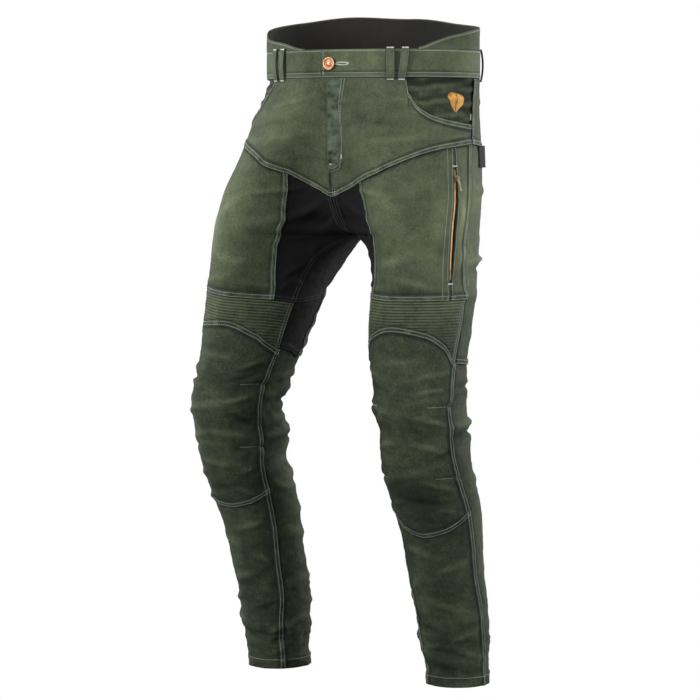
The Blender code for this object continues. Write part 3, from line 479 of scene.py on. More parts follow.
def wear_and_light_at(side, column, z):
    """Tone by height on the leg, with patches partly of fading, partly painted light and shade."""
    heights = np.array(TONE_HEIGHTS)
    total = np.interp(z / MM, heights[:, 0], heights[:, 1])
    for way, middle, height_z, across, along, change in WEAR_AND_LIGHT_PLACES:
        if way * side < 0:
            continue
        total = total + change * bump(column - middle, across) * bump(z / MM - height_z, along)
    return total


def seam_wear_and_shade(distance, along, kind, seed):
    """Fading along a seam, roped pale and dark over the lap, with painted shade in its groove."""
    rope = np.sin(along / (3.3 * MM) + distance / (2.2 * MM) + seed) + 0.6 * np.sin(
        along / (6.1 * MM) - distance / (4.0 * MM) + 2.0 * seed)
    # Painted shade: dark in the groove, beside an edge under a lap, and just past a lap.
    groove = -0.42 * bell(distance, 1.1 * MM)
    if kind == "under":
        return groove - 0.26 * bell(distance, 4.0 * MM) + 0.06 * rope * np.exp(
            -(distance / (8.0 * MM)) ** 2)
    crown = bell(distance - 4.5 * MM, 3.0 * MM)
    beyond = bell(distance - 11.0 * MM, 2.0 * MM)
    return groove + (0.12 * rope - 0.03) * crown - 0.26 * beyond


def place_mesh(name, bm, finish):
    """An object of one finish that rides on the trousers."""
    mesh = bpy.data.meshes.new(name)
    bm.to_mesh(mesh)
    bm.free()
    mesh.materials.append(finish)
    mesh.shade_smooth()
    piece = bpy.data.objects.new(name, mesh)
    bpy.context.scene.collection.objects.link(piece)
    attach(piece, "trousers")
    return piece


def lay_grid(name, node, points, normals, lift, wear_and_painted_light, seam, finish, thick=CLOTH_THICK,
             side=1):
    """A shell from a grid of points, moved out by its lift, with its cut as UV."""
    rows, columns = points.shape[:2]
    points = points * (side, 1, 1)
    normals = normals * (side, 1, 1)
    final = points + normals * lift[..., None]
    across = run_length(points, 1)
    down = run_length(points, 0)
    bm = bmesh.new()
    bmesh.ops.create_grid(bm, x_segments=columns - 1, y_segments=rows - 1, size=0.5)
    uv_layer = bm.loops.layers.uv.new("cloth")
    wear_and_light_layer = bm.verts.layers.float.new("wear_and_painted_light")
    seam_layer = bm.verts.layers.float.new("seam")
    places = {}
    for vert in bm.verts:
        j = round((vert.co.x + 0.5) * (columns - 1))
        i = round((0.5 - vert.co.y) * (rows - 1))
        places[vert] = (i, j)
    for vert, (i, j) in places.items():
        vert.co = final[i, j]
        vert[wear_and_light_layer] = wear_and_painted_light[i, j]
        vert[seam_layer] = seam[i, j]
    for face in bm.faces:
        for loop in face.loops:
            i, j = places[loop.vert]
            loop[uv_layer].uv = (across[i, j], -down[i, j])
    bm.normal_update()
    bm.faces.ensure_lookup_table()
    middle = bm.faces[len(bm.faces) // 2]
    i, j = places[middle.verts[0]]
    if middle.normal.dot(Vector(normals[i, j])) < 0:
        bmesh.ops.reverse_faces(bm, faces=bm.faces)
    piece = place_mesh(name, bm, finish)
    wall = piece.modifiers.new("cloth_wall", "SOLIDIFY")
    wall.thickness = thick
    wall.offset = -1.0
    wall.use_even_offset = False
    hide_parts(node)
    built[name] = {"points": final, "normals": normals, "across": across, "down": down}


CREASE_TONE = 62.0   # colour per metre of crease: ridges rubbed paler, troughs given painted shade
ZIP_TOP = -160 * MM
ZIP_BOTTOM = -332 * MM
ZIP_HALF = 1.7 * MM
ZIP_GAPE = 7.0 * MM
ZIP_SPREAD = 14 * MM
MIDDLE_CLEAR = 0.15 * MM
EDGES = ("first", "last", "top", "bottom")


def cut_panel(node, side, first, last, seams, kinds, finish, extra=None,
              fine=3.9 * MM, columns=None):
    """Cut one panel between two columns and two seams; kinds says how its four edges lie."""
    top, bottom = (line if callable(line) else partial(cross_height, side, line)
                   for line in seams)
    middle = np.array([(first + last) / 2])
    middle_z = float(np.mean(top(middle) + bottom(middle)) / 2)
    rough = form_points(np.linspace(first, last, 20), middle_z)
    width = float(np.linalg.norm(np.diff(rough, axis=0), axis=-1).sum())
    if columns is None:
        columns = first + (last - first) * steps_dense_at_ends(width, int(width / fine))
    length = float(abs(np.mean(top(columns) - bottom(columns))))
    down = steps_dense_at_ends(length, int(length / fine))
    grid_z = grid_between(top(columns), bottom(columns), down)
    grid_c = np.broadcast_to(columns, grid_z.shape)
    points, normals, round_way = form_frame(grid_c, grid_z)
    from_first = run_length(points, 1)
    from_top = run_length(points, 0)
    distances = {"first": from_first, "last": from_first[:, -1:] - from_first,
                 "top": from_top, "bottom": from_top[-1:] - from_top}
    along = {"first": from_top, "last": from_top, "top": from_first, "bottom": from_first}
    lift = surface_lift(side, grid_c, grid_z, points)
    # Crease ridges are rubbed paler; their troughs are darkened as painted shade.
    crease_height = (fold_lift(side, grid_c, grid_z, CREASES, CREASE_LONG) * 1.5
              + wrinkles(side, grid_c, grid_z, points) * 1.2)
    seam = np.zeros(grid_z.shape)
    wear_and_painted_light = wear_and_light_at(side, grid_c, grid_z) + np.clip(CREASE_TONE * (crease_height - 0.4 * MM), -0.2, 0.14)
    for seed, (edge, kind) in enumerate(zip(EDGES, kinds.split())):
        bare = np.ones(grid_z.shape)
        if (node, edge) == ("front", "top"):
            bare = clamp((grid_c - POCKET_START) / 0.06)
        place = seed + first + side
        lift += lap_profile(distances[edge], kind) * bare
        lift += pucker(distances[edge], along[edge], place)
        reach = LAP_WIDTH if kind == "lap" else 4.0 * MM
        seam += 0.22 * bell(distances[edge] - reach / 2, reach * 0.8)
        wear_and_painted_light += seam_wear_and_shade(distances[edge], along[edge], kind, place) * bare
    patchy = 0.55 + 0.9 * uneven(points * (side, 1, 1), 0.018, 5)
    seam = np.clip(seam * np.clip(patchy, 0.1, 1.2), 0, 0.8)
    if extra is not None:
        lift += extra(grid_c, grid_z)
    if ZIP_COLUMN in (first, last) and node.startswith("thigh"):
        edge, way = ("first", 1) if first == ZIP_COLUMN else ("last", -1)
        share = clamp((ZIP_TOP - grid_z) / (ZIP_TOP - ZIP_BOTTOM))
        if edge == "first":
            opened = ZIP_GAPE * np.sin(np.pi * share) ** 0.7
        else:
            opened = ZIP_HALF * np.sin(np.pi * share) ** 0.3
        fall = bell(distances[edge], ZIP_SPREAD)
        points = points + round_way * (way * opened * fall)[..., None]
    points[..., 0] = np.maximum(points[..., 0], MIDDLE_CLEAR)
    final_x = points[..., 0] + normals[..., 0] * lift
    lift = np.where(final_x < MIDDLE_CLEAR, 0.0, lift)
    lay_grid(f"{node}_cloth_{SUFFIX[side]}", f"{node}_{SUFFIX[side]}", points, normals, lift,
             wear_and_painted_light, seam, finish, side=side)


ZIP_COLUMN = 13
POCKET_START = 9.5
POCKET_EDGE = np.array(((9.62, -46), (9.9, -58), (10.5, -70), (11.3, -79), (12.2, -84.5),
                        (13.0, -87.5), (14.0, -90), (15.0, -92), (16.0, -93)))


def pocket_height(column):
    """Height of the hip pocket's edge at columns."""
    return read_table(POCKET_EDGE, np.maximum(column, POCKET_EDGE[0, 0]))[0] * MM


def hip_top(column):
    """The front panel's upper edge: the waist seam, then the pocket's edge."""
    return np.where(column <= POCKET_START, BAND_BOTTOM, pocket_height(column))


HIP_COLUMNS = np.unique(np.concatenate((
    np.linspace(0, 9.3, 44), (9.4, 9.5, 9.56, 9.62, 9.7, 9.8), np.linspace(9.9, 15.4, 36),
    (15.5, 15.6, 15.7, 15.8, 15.9, 15.95, 16.0), (0.05, 0.12, 0.3)))).round(5)
for side in SUFFIX:
    cut_panel("front", side, 0, 16, (hip_top, "yoke"), "under under lap lap", OLIVE,
              columns=HIP_COLUMNS)
    cut_panel("thigh_front", side, 5, 13, ("yoke", "ribs"), "lap under under lap", OLIVE)
    cut_panel("thigh_side", side, 13, 16, ("yoke", "ribs"), "under lap under lap", OLIVE)
    cut_panel("seat", side, 16, 27, ("band", "yoke"), "lap under under lap", OLIVE)
    cut_panel("back_thigh", side, 16, 23, ("yoke", "knee"), "under lap under lap", OLIVE)


# Knee, shin and calf
# The knee piece is shaped by four short darts, two on each side, sewn flat from outside.
# Shin and calf are plain; the hem is turned up 18 mm and sewn once, and it pulls a little.
DART_HEIGHTS = {1: (-517, -627), -1: (-496, -595)}
DART_LONG = 5.0
HEM_TURN = 18 * MM


def dart_lift(side, column, z):
    """The pinch of the four darts: a narrow trough that opens into soft hills."""
    total = np.zeros(np.broadcast(column, z).shape)
    for height in DART_HEIGHTS[side]:
        drop = z / MM - height
        for inward in (column, 16 - column):
            fade = clamp(1 - inward / DART_LONG)
            total += -2.4 * bell(drop, 2.4) * fade ** 0.5
            total += 1.5 * (bell(drop - 9, 7) + bell(drop + 9, 7)) * fade
            beyond = bump(inward - DART_LONG - 0.6, 1.6)
            total += 1.0 * beyond * bell(drop, 10)
    return total * MM


def hem_lift(column, z):
    """The turned-up hem: a thicker band with a shallow pull at its sewing."""
    above = z - CROSS_SEAMS["hem"][0][0] * MM
    band = 0.6 * MM * clamp((HEM_TURN + 1 * MM - above) / (1.5 * MM))
    pull = 0.25 * MM * np.sin(column * 5.1 + 40 * above) * bell(above, 22 * MM)
    return band + pull


for side in SUFFIX:
    cut_panel("knee", side, 0, 16, ("knee", "shin"), "lap lap lap lap", OLIVE,
              extra=partial(dart_lift, side), fine=3.0 * MM)
    cut_panel("shin", side, 0, 16, ("shin", "hem"), "lap lap under", OLIVE, extra=hem_lift)
    cut_panel("calf", side, 16, 27, ("knee", "hem"), "under under under", OLIVE, extra=hem_lift)


# Ribbed knee band
# The same olive cloth, sewn over narrow rows of wadding into level ribs, so that the knee can
# bend.  The ribs run parallel to the upper seam and the knee piece's arc cuts them off.
RIB_PITCH = 4.4 * MM
RIB_HEIGHT = 1.9 * MM


def rib_lift(side, column, z):
    """Round ribs that die away into the seams on every side."""
    top = cross_height(side, "ribs", column)
    low = cross_height(side, "knee", column)
    ridge = np.abs(np.sin((top - z) / RIB_PITCH * math.pi)) ** 0.5
    reach = clamp((z - low) / (2.2 * MM)) * clamp((top - z) / (1.2 * MM))
    sides = clamp((column - 1.0) / 0.3) * clamp((15.1 - column) / 0.25)
    wobble = 1 + 0.16 * np.sin(column * 2.3 + z * 320)
    return RIB_HEIGHT * ridge * reach * sides * wobble - 0.3 * MM


OLIVE_RIB = twill("ribbed_olive_twill",
                  ((0.0, "#0c0e0b"), (0.3, "#22261d"), (0.5, "#3f4634"), (0.75, "#5a6249"),
                   (1.0, "#777d63")), "#384743", 0.45, 0.0)
RIB_ROWS = 240
RIB_COLUMNS = np.unique(np.concatenate((
    (0, 0.05, 0.1, 0.2, 0.3), np.linspace(0.45, 15.55, 70), (15.7, 15.8, 15.9, 15.95, 16.0))))
for side, suffix in SUFFIX.items():
    tops = cross_height(side, "ribs", RIB_COLUMNS)
    lows = cross_height(side, "knee", RIB_COLUMNS)
    grid_z = grid_between(tops, lows, np.linspace(0, 1, RIB_ROWS))
    grid_c = np.broadcast_to(RIB_COLUMNS, grid_z.shape)
    points, normals, _ = form_frame(grid_c, grid_z)
    lift = (fold_lift(side, grid_c, grid_z, FOLDS) + rib_lift(side, grid_c, grid_z)
            + unevenness(side, points) + 0.35 * wrinkles(side, grid_c, grid_z, points))
    # Lighter on the rib crests, darker between them: the hollows carry painted shade.
    crest = np.abs(np.sin((tops[None, :] - grid_z) / RIB_PITCH * math.pi)) ** 0.6
    wear_and_painted_light = wear_and_light_at(side, grid_c, grid_z) + 0.03 + 0.26 * (crest - 0.6)
    lay_grid(f"rib_band_cloth_{suffix}", f"rib_band_{suffix}", points, normals, lift, wear_and_painted_light,
             np.zeros(grid_z.shape), OLIVE_RIB, side=side)


# Black stretch panels
# A heavy four-way stretch weave between the legs and behind the knees, matt black, a touch
# brown where it is rubbed.  It is cut close and wrinkles in short soft lines.
BLACK = twill("black_stretch_weave",
              ((0.0, "#020202"), (0.4, "#070707"), (0.7, "#0d0d0c"), (1.0, "#161514")),
              "#121211", 0.3, 0.0)
for side in SUFFIX:
    for node, first, last, seams, kinds in (
            ("inner_front", 0, 5, ("yoke", "ribs"), "lap under under lap"),
            ("inner_back", 23, 27, ("yoke", "ribs"), "under under under lap"),
            ("inner_back_low", 23, 27, ("ribs", "knee"), "under under under lap")):
        cut_panel(node, side, first, last, seams, kinds, BLACK)


# Hip pockets
# A scooped opening edged with two rows of thread; inside it shows the facing, the same twill,
# slack and folded level.  On the left facing sits a small gold embroidered leaf.
FACING_BELOW = 14 * MM
FACING_DEEP = 1.0 * MM
WALL = 2.0 * MM


def facing_creases(column, z):
    """Level slack folds in the pocket facing."""
    drift = 0.8 * np.sin(column * 1.3) + 0.5 * np.sin(column * 2.9 + 1)
    total = (1.2 * np.sin(z / MM / 3.4 + drift) + 0.6 * np.sin(z / MM / 1.9 - column)
             - 0.8)
    return np.minimum(total * MM, 0.5 * MM)


FACING_COLUMNS = np.linspace(8.7, 16.7, 66)
facing_low = pocket_height(np.minimum(FACING_COLUMNS, 16)) - FACING_BELOW
grid_z = grid_between(np.full(66, BAND_BOTTOM), facing_low, np.linspace(0.002, 1, 50))
grid_c = np.broadcast_to(FACING_COLUMNS, grid_z.shape)
creases = facing_creases(grid_c, grid_z)
for side, suffix in SUFFIX.items():
    points, normals, _ = form_frame(grid_c, grid_z)
    lift = (fold_lift(side, grid_c, grid_z, FOLDS) + creases
            - 0.9 * MM - (WALL + FACING_DEEP - 0.9 * MM) * clamp((15.9 - grid_c) / 1.2))
    # Darker over all, and darker in the fold troughs: painted shade in the folds.
    lay_grid(f"pocket_facing_cloth_{suffix}", f"pocket_facing_{suffix}", points, normals, lift,
             wear_and_light_at(side, grid_c, grid_z) - 0.12 + 90 * creases, np.zeros(grid_z.shape), OLIVE,
             thick=1.0 * MM, side=side)


# Waistband, raised back and lining
# A doubled band 44 mm high, closed left over right by one tack button.  Behind, a panel rises
# over it to cover the lower back, lined inside with soft charcoal cloth.
BAND_OUT = 0.8 * MM
BAND_END_ANGLE = -94.4
RAISED_TOP = np.array(((-74, 25, 23.5), (-57, 25, 33.5), (-42, 25, 39), (-34, 32, 42),
                       (-22, 42, 53), (0, 52, 64), (25, 59, 73), (58, 68, 83), (90, 79, 79)),
                      float)
HALF_WIDTH = 0.177


def waist_frame(angle, z):
    """Points and outward normals round the waist."""
    angle, z = np.broadcast_arrays(np.asarray(angle, float), np.asarray(z, float))
    section = read_table(SECTIONS, np.minimum(z / MM, 90))
    half_width = section[2] * MM
    half_depth = (np.abs(section[1]) + section[5]) / 2 * MM
    turn = np.radians(angle)
    normal = unit(np.stack((np.cos(turn) / half_width, np.sin(turn) / half_depth,
                            np.zeros_like(z)), axis=-1))
    points = np.stack((half_width * np.cos(turn), half_depth * np.sin(turn), z), axis=-1)
    return points, normal


def raised_height(angle):
    """Height of the raised back's top edge."""
    left = read_table(RAISED_TOP, angle)[0]
    right = read_table(RAISED_TOP, 180 - angle)[1]
    return np.where(angle <= 90, left, right) * MM


def band_lift(angle, z, end_angle=None):
    """The waistband's face: a soft roll at both edges and a slight wave."""
    from_top = BAND_TOP - z
    from_low = z - BAND_BOTTOM
    roll = -0.7 * MM * (bell(from_top, 1.5 * MM)
                        + bell(from_low, 1.5 * MM))
    groove = -0.25 * MM * bell(from_low - 7 * MM, 1.6 * MM)
    wave = 0.5 * MM * np.sin(np.radians(angle) * 9) * np.sin((z - BAND_BOTTOM) / 14e-3)
    small = 0.22 * MM * np.sin(np.radians(angle) * 150 + z * 260) * np.exp(
        -(from_low / (9 * MM)) ** 2)
    total = BAND_OUT + roll + groove + wave + small
    if end_angle is not None:
        total = total + 1.1 * MM * bell(angle - end_angle, 6.0)
    return total


def waist_piece(name, node, angles, tops, lows, rows, lift, wear_and_painted_light, finish, thick):
    """A grid round the waist between two edges."""
    grid_z = grid_between(tops, lows, np.linspace(0, 1, rows))
    grid_a = np.broadcast_to(angles, grid_z.shape)
    points, normals = waist_frame(grid_a, grid_z)
    seam = clamp(0.35 * bell(grid_z - lows[None, :], 5 * MM))
    lay_grid(name, node, points, normals, lift(grid_a, grid_z), wear_and_painted_light(grid_a, grid_z), seam,
             finish, thick=thick)


def band_wear_and_shade(angle, z):
    """A little darker than the hips, rubbed pale at the top, painted shade at the lower edge."""
    from_low = z - BAND_BOTTOM
    low_row = 0.12 * np.sin(np.radians(angle) * 240) * bell(from_low - 4.5 * MM, 3 * MM)
    return (0.52 + 0.08 * bell(BAND_TOP - z, 2.5 * MM)
            + 0.05 * np.sin(np.radians(angle) * 5 + 1) + low_row
            # Painted shade: a dark line along the band's lower edge.
            - 0.35 * bell(from_low, 1.0 * MM)
            - 0.16 * bell(from_low - 10 * MM, 1.6 * MM))


BAND_STEPS = 230
flat_top = np.full(BAND_STEPS, BAND_TOP - 0.15 * MM)
flat_low = np.full(BAND_STEPS, BAND_BOTTOM + 0.15 * MM)
for suffix, start, stop, lift in (
        ("left", BAND_END_ANGLE + 0.06, 89.94, partial(band_lift, end_angle=BAND_END_ANGLE)),
        ("right", 90.06, BAND_END_ANGLE + 360 - 0.06, band_lift)):
    waist_piece(f"waistband_cloth_{suffix}", f"waistband_{suffix}",
                np.linspace(start, stop, BAND_STEPS), flat_top, flat_low, 30, lift, band_wear_and_shade,
                OLIVE, 2.6 * MM)
raised_angles = np.linspace(-42, 254, 240)
waist_piece("raised_back_cloth", "raised_back", raised_angles, raised_height(raised_angles),
            np.full(240, BAND_TOP + 0.15 * MM), 24,
            lambda a, z: BAND_OUT - 0.2 * MM + 0.7 * MM * np.sin(np.radians(a) * 7 + z * 60)
            - 0.8 * MM * bell(raised_height(a) - z, 1.4 * MM),
            lambda a, z: 0.40 + 0.12 * bell(raised_height(a) - z, 2.5 * MM),
            OLIVE, 1.6 * MM)
LINING = twill("charcoal_lining_cloth",
               ((0.0, "#0f0e0d"), (0.4, "#1a1917"), (0.7, "#24221f"), (1.0, "#302d29")),
               "#232120", 0.10, 0.05)
lining_angles = np.linspace(-39, 219, 200)
waist_piece("back_lining_cloth", "back_lining", lining_angles,
            raised_height(lining_angles) - 1.5 * MM,
            np.full(200, BAND_BOTTOM + 3 * MM), 40,
            lambda a, z: -3.0 * MM + 0.35 * MM * np.sin(np.radians(a) * 11 + z * 90)
            - 0.3 * MM * bell(z - 30 * MM, 1.5 * MM),
            lambda a, z: 0.35 + 0.1 * np.sin(np.radians(a) * 4), LINING, 1.0 * MM)


# Fly
# The fly's cover on the left front hides its zip; it is wrinkled by wear and held by a double
# row of thread that curves to the middle like a J.
PLACKET_WIDTH = 28 * MM
PLACKET_OVER = 3 * MM
PLACKET_LONG = 146 * MM
PLACKET_CURVE = 26 * MM
PLACKET_LIFT = 1.0 * MM


def columns_at_x(x, z):
    """Columns whose form points lie at distances from the middle of the front."""
    low = np.full(np.broadcast(x, z).shape, -2.0)
    high = np.full(low.shape, 12.0)
    for _ in range(26):
        middle = (low + high) / 2
        inside = form_points(middle, z)[..., 0] < x
        low = np.where(inside, middle, low)
        high = np.where(inside, high, middle)
    return (low + high) / 2


across = np.linspace(0, 1, 26) ** 0.9
placket_x = -PLACKET_OVER + across * (PLACKET_WIDTH + PLACKET_OVER)
rise = PLACKET_CURVE * (1 - np.sqrt(clamp(1 - across ** 2)))
placket_low = BAND_BOTTOM - PLACKET_LONG + rise
grid_z = grid_between(np.full(26, BAND_BOTTOM), placket_low, np.linspace(0, 1, 80)) - 0.3 * MM
grid_x = np.broadcast_to(placket_x, grid_z.shape)
grid_c = columns_at_x(np.abs(grid_x), grid_z)
bare, normals, _ = form_frame(grid_c, grid_z)
flip = np.ones(bare.shape)
flip[..., 0] = np.where(grid_x < 0, -1.0, 1.0)
points = bare * flip
wrinkle = (1.5 * uneven(points * (0.35, 0.35, 1.0), 0.0085, 9)
           + 0.9 * uneven(points * (0.6, 0.6, 1.0), 0.0045, 11)
           + 0.3 * np.sin(grid_z / MM / 5.2 - grid_x / MM * 0.16 + 1.0))
wrinkle *= clamp((grid_x + PLACKET_OVER) / (4 * MM)) * clamp((PLACKET_WIDTH - grid_x) / (8 * MM))
sewn = clamp((PLACKET_WIDTH - grid_x) / (9 * MM))
sewn = sewn * clamp((grid_z - placket_low[None, :]) / (9 * MM))
lift = (surface_lift(1, grid_c, grid_z, bare) + 0.55 * MM + PLACKET_LIFT * sewn
        + wrinkle * MM * 0.8)
# Wrinkle ridges are paler where rubbed; their troughs are darker as painted shade.
lay_grid("fly_placket_cloth", "fly_placket", points, normals * flip, lift,
         wear_and_light_at(1, grid_c, grid_z) + 0.16 * wrinkle - 0.03,
         np.clip(0.22 + 0.30 * wrinkle, 0, 0.7), OLIVE, thick=1.0 * MM)


# Belt loops and side tab
# Seven loops of doubled twill, 13 mm wide, bar-tacked at both ends and standing off the band.
# A plain black woven tab is caught in the left side seam.
LOOPS = (("belt_loop_front_left", -57.5, -57.5), ("belt_loop_slant_left", -49.4, -51.6),
         ("belt_loop_front_right", 237.5, 237.5), ("belt_loop_slant_right", 229.5, 230.5),
         ("belt_loop_side_left", 27, 27), ("belt_loop_side_right", 153, 153),
         ("belt_loop_back", 90, 90))
LOOP_HALF = 6.5 * MM
WAIST_RADIUS = 0.155
LOOP_TOP = 25 * MM
LOOP_LOW = -26.0 * MM
LOOP_CLEAR = 3.6 * MM
LOOP_ANGLE = math.degrees(LOOP_HALF / WAIST_RADIUS)
across, share = np.meshgrid(np.linspace(-1, 1, 9), np.linspace(0, 1, 34))
grid_z = LOOP_TOP + (LOOP_LOW - LOOP_TOP) * share
rise = np.sin(np.pi * np.clip(share, 0.0001, 0.9999)) ** 0.7
lift = BAND_OUT + 0.7 * MM + LOOP_CLEAR * rise + 1.6 * MM - 0.5 * MM * np.abs(across) ** 4
# Lighter along the raised middle; its two folded edges darkened as painted shade.
wear_and_painted_light = 0.44 + 0.16 * rise * (1 - np.abs(across)) - 0.45 * np.abs(across) ** 6
seam = np.clip(0.25 * np.abs(across) ** 2 * (0.4 + rise), 0, 0.7)
loop_lines = []
loop_ends = []
for node, top_angle, low_angle in LOOPS:
    points, normals = waist_frame(
        top_angle + (low_angle - top_angle) * share + LOOP_ANGLE * across, grid_z)
    lay_grid(f"{node}_cloth", node, points, normals, lift, wear_and_painted_light, seam, OLIVE, thick=1.5 * MM)
    final = points + normals * lift[..., None]
    for column in (1, 7):
        loop_lines.append((final[2:-2, column], normals[2:-2, column]))
    for row in (1, -2):
        loop_ends.append((final[row, 1:-1], normals[row, 1:-1]))

TAB_WEAVE = twill("black_woven_tab", ((0.0, "#060606"), (0.5, "#0f0f0f"), (1.0, "#1c1c1c")),
                  "#101010", 0.12, 0.0)
grid_c, grid_z = np.meshgrid(np.linspace(16.9, 18.1, 10), np.linspace(-126, -160, 24) * MM)
points, normals, _ = form_frame(grid_c, grid_z)
lift = (np.interp(grid_c, (16.9, 17.5, 18.1), (0.8, 2.6, 5.0)) + 1.2) * MM
lay_grid("side_tab_cloth", "side_tab", points, normals, lift, np.full(lift.shape, 0.4),
         np.zeros(lift.shape), TAB_WEAVE, thick=1.2 * MM)


# Topstitching
# Thick pale thread in two rows along every lap, 3.7 mm a stitch, and dense bar tacks where a
# seam is strained.  The thread is drawn 0.8 mm thick, a little heavier than real, to show.
def thread_material(name, light, dark):
    """Spun polyester thread, its colour a little uneven from washing."""
    material, tree, shader, place = new_material(name)
    cloud = noise_value(tree, place, 220.0, 3.0)
    set_inputs(shader, {"Base Color": color_steps(tree, cloud, ((0.3, dark), (0.7, light))),
                        "Roughness": 0.7, "Sheen Weight": 0.2})
    return material


THREAD = thread_material("pale_thread", "#c3cdc2", "#87958b")
DULL_THREAD = thread_material("dull_thread", "#93a096", "#5f6c64")
STITCH_PITCH = 3.7 * MM
STITCH_LONG = 2.1 * MM
STITCH_THICK = 0.78 * MM


def read_shape(bm):
    """The corners and faces of one small shape that is laid many times."""
    bm.verts.index_update()
    verts = np.array([v.co[:] for v in bm.verts])
    faces = np.array([[v.index for v in f.verts] for f in bm.faces])
    bm.free()
    return verts, faces


def template_stitch():
    """One stitch: a small stretched ball of thread."""
    bm = bmesh.new()
    bmesh.ops.create_icosphere(bm, subdivisions=1, radius=0.5)
    return read_shape(bm)


def resample(line, normals, pitch, start=0.5):
    """Places along a line at even steps, with its direction and normal there."""
    steps = np.linalg.norm(np.diff(line, axis=0), axis=-1)
    along = np.concatenate(([0], np.cumsum(steps)))
    count = max(int(along[-1] / pitch), 1)
    places = (np.arange(count) + start) * pitch
    spots = np.stack([np.interp(places, along, line[:, k]) for k in range(3)], axis=-1)
    ups = unit(np.stack([np.interp(places, along, normals[:, k]) for k in range(3)], axis=-1))
    ahead = np.stack([np.interp(places + pitch * 0.3, along, line[:, k])
                      - np.interp(places - pitch * 0.3, along, line[:, k]) for k in range(3)],
                     axis=-1)
    return spots, unit(ahead), ups


def sew(name, lines, finish, pitch=STITCH_PITCH, long=STITCH_LONG, thick=STITCH_THICK,
        across=False, sink=0.1, shape=None):
    """One mesh of stitches along many lines; across lays each stitch over the line."""
    verts, faces = shape or template_stitch()
    all_verts = []
    all_faces = []
    count = 0
    for line, normals in lines:
        spots, ahead, ups = resample(np.asarray(line), np.asarray(normals), pitch)
        beside = unit(np.cross(ups, ahead))
        if across:
            ahead, beside = beside, ahead
        ups = unit(np.cross(ahead, beside))
        for spot, forward, sideways, up in zip(spots, ahead, beside, ups):
            placed = (verts[:, :1] * long * forward + verts[:, 1:2] * thick * sideways
                      + verts[:, 2:3] * thick * 0.8 * up)
            all_verts.append(placed + spot + up * thick * sink)
            all_faces.append(faces + count)
            count += len(verts)
    rough = bpy.data.meshes.new("rough_stitches")
    rough.from_pydata(np.concatenate(all_verts).tolist(), [],
                      np.concatenate(all_faces).tolist())
    bm = bmesh.new()
    bm.from_mesh(rough)
    bpy.data.meshes.remove(rough)
    bmesh.ops.recalc_face_normals(bm, faces=bm.faces)
    place_mesh(name, bm, finish)


def edge_line(name, edge, distance, start=0.0, stop=1.0):
    """A line on a built panel, at a distance in from one of its edges."""
    panel = built[name]
    grids = [panel["points"], panel["normals"]]
    depth = panel["down"] if edge in ("top", "bottom") else panel["across"]
    if edge in ("first", "last"):
        grids = [grid.transpose(1, 0, 2) for grid in grids]
        depth = depth.T
    if edge in ("bottom", "last"):
        grids = [grid[::-1] for grid in grids]
        depth = depth[-1:] - depth[::-1]
    line, ups = (np.stack([[np.interp(distance, depth[:, j], grid[:, j, k]) for k in range(3)]
                           for j in range(grid.shape[1])]) for grid in grids)
    low = int(start * (len(line) - 1))
    high = int(round(stop * (len(line) - 1))) + 1
    return line[low:high], unit(ups[low:high])


ROWS = (1.9 * MM, 7.2 * MM)
POCKET_SHARE = float(np.mean(HIP_COLUMNS < POCKET_START))
LAPS = (("front", ("top", "bottom")), ("thigh_front", ("first", "bottom")),
        ("thigh_side", ("last", "bottom")), ("seat", ("first", "bottom")),
        ("back_thigh", ("last", "bottom")), ("knee", ("first", "last", "top", "bottom")),
        ("shin", ("first", "last")), ("rib_band", ("first", "last")))
INNER_LAPS = (("inner_front", ("first", "bottom")), ("inner_back", ("bottom",)),
              ("inner_back_low", ("bottom",)))
GREY_THREAD = thread_material("grey_thread", "#4a504d", "#2c302e")


def lap_lines(suffix, laps):
    """Both rows of stitches along the laps of one leg's panels."""
    lines = []
    for node, edges in laps:
        for edge in edges:
            start = POCKET_SHARE if (node, edge) == ("front", "top") else 0.0
            for distance in ROWS:
                lines.append(edge_line(f"{node}_cloth_{suffix}", edge, distance, start))
    return lines


for suffix in SUFFIX.values():
    lines = lap_lines(suffix, LAPS)
    for node, edge, distance in (
            ("thigh_front", "last", 5.5 * MM), ("thigh_front", "last", 16.0 * MM),
            ("thigh_side", "first", 3.5 * MM), ("shin", "bottom", 15 * MM),
            ("calf", "bottom", 15 * MM)):
        lines.append(edge_line(f"{node}_cloth_{suffix}", edge, distance))
    sew(f"topstitch_{suffix}", lines, THREAD)
for suffix in SUFFIX.values():
    sew(f"inner_topstitch_{suffix}", lap_lines(suffix, INNER_LAPS), GREY_THREAD)


def surface_line(side, columns, heights, lift, extra=None):
    """A line over the cloth through columns and heights, lifted off it."""
    places = np.linspace(0, len(columns) - 1, 12 * len(columns))
    c = np.interp(places, np.arange(len(columns)), columns)
    z = np.interp(places, np.arange(len(columns)), heights) * MM
    points, normals, _ = form_frame(c, z)
    total = surface_lift(side, c, z, points) + lift
    if extra is not None:
        total += extra(c, z)
    return (points + normals * total[:, None]) * (side, 1, 1), normals * (side, 1, 1)


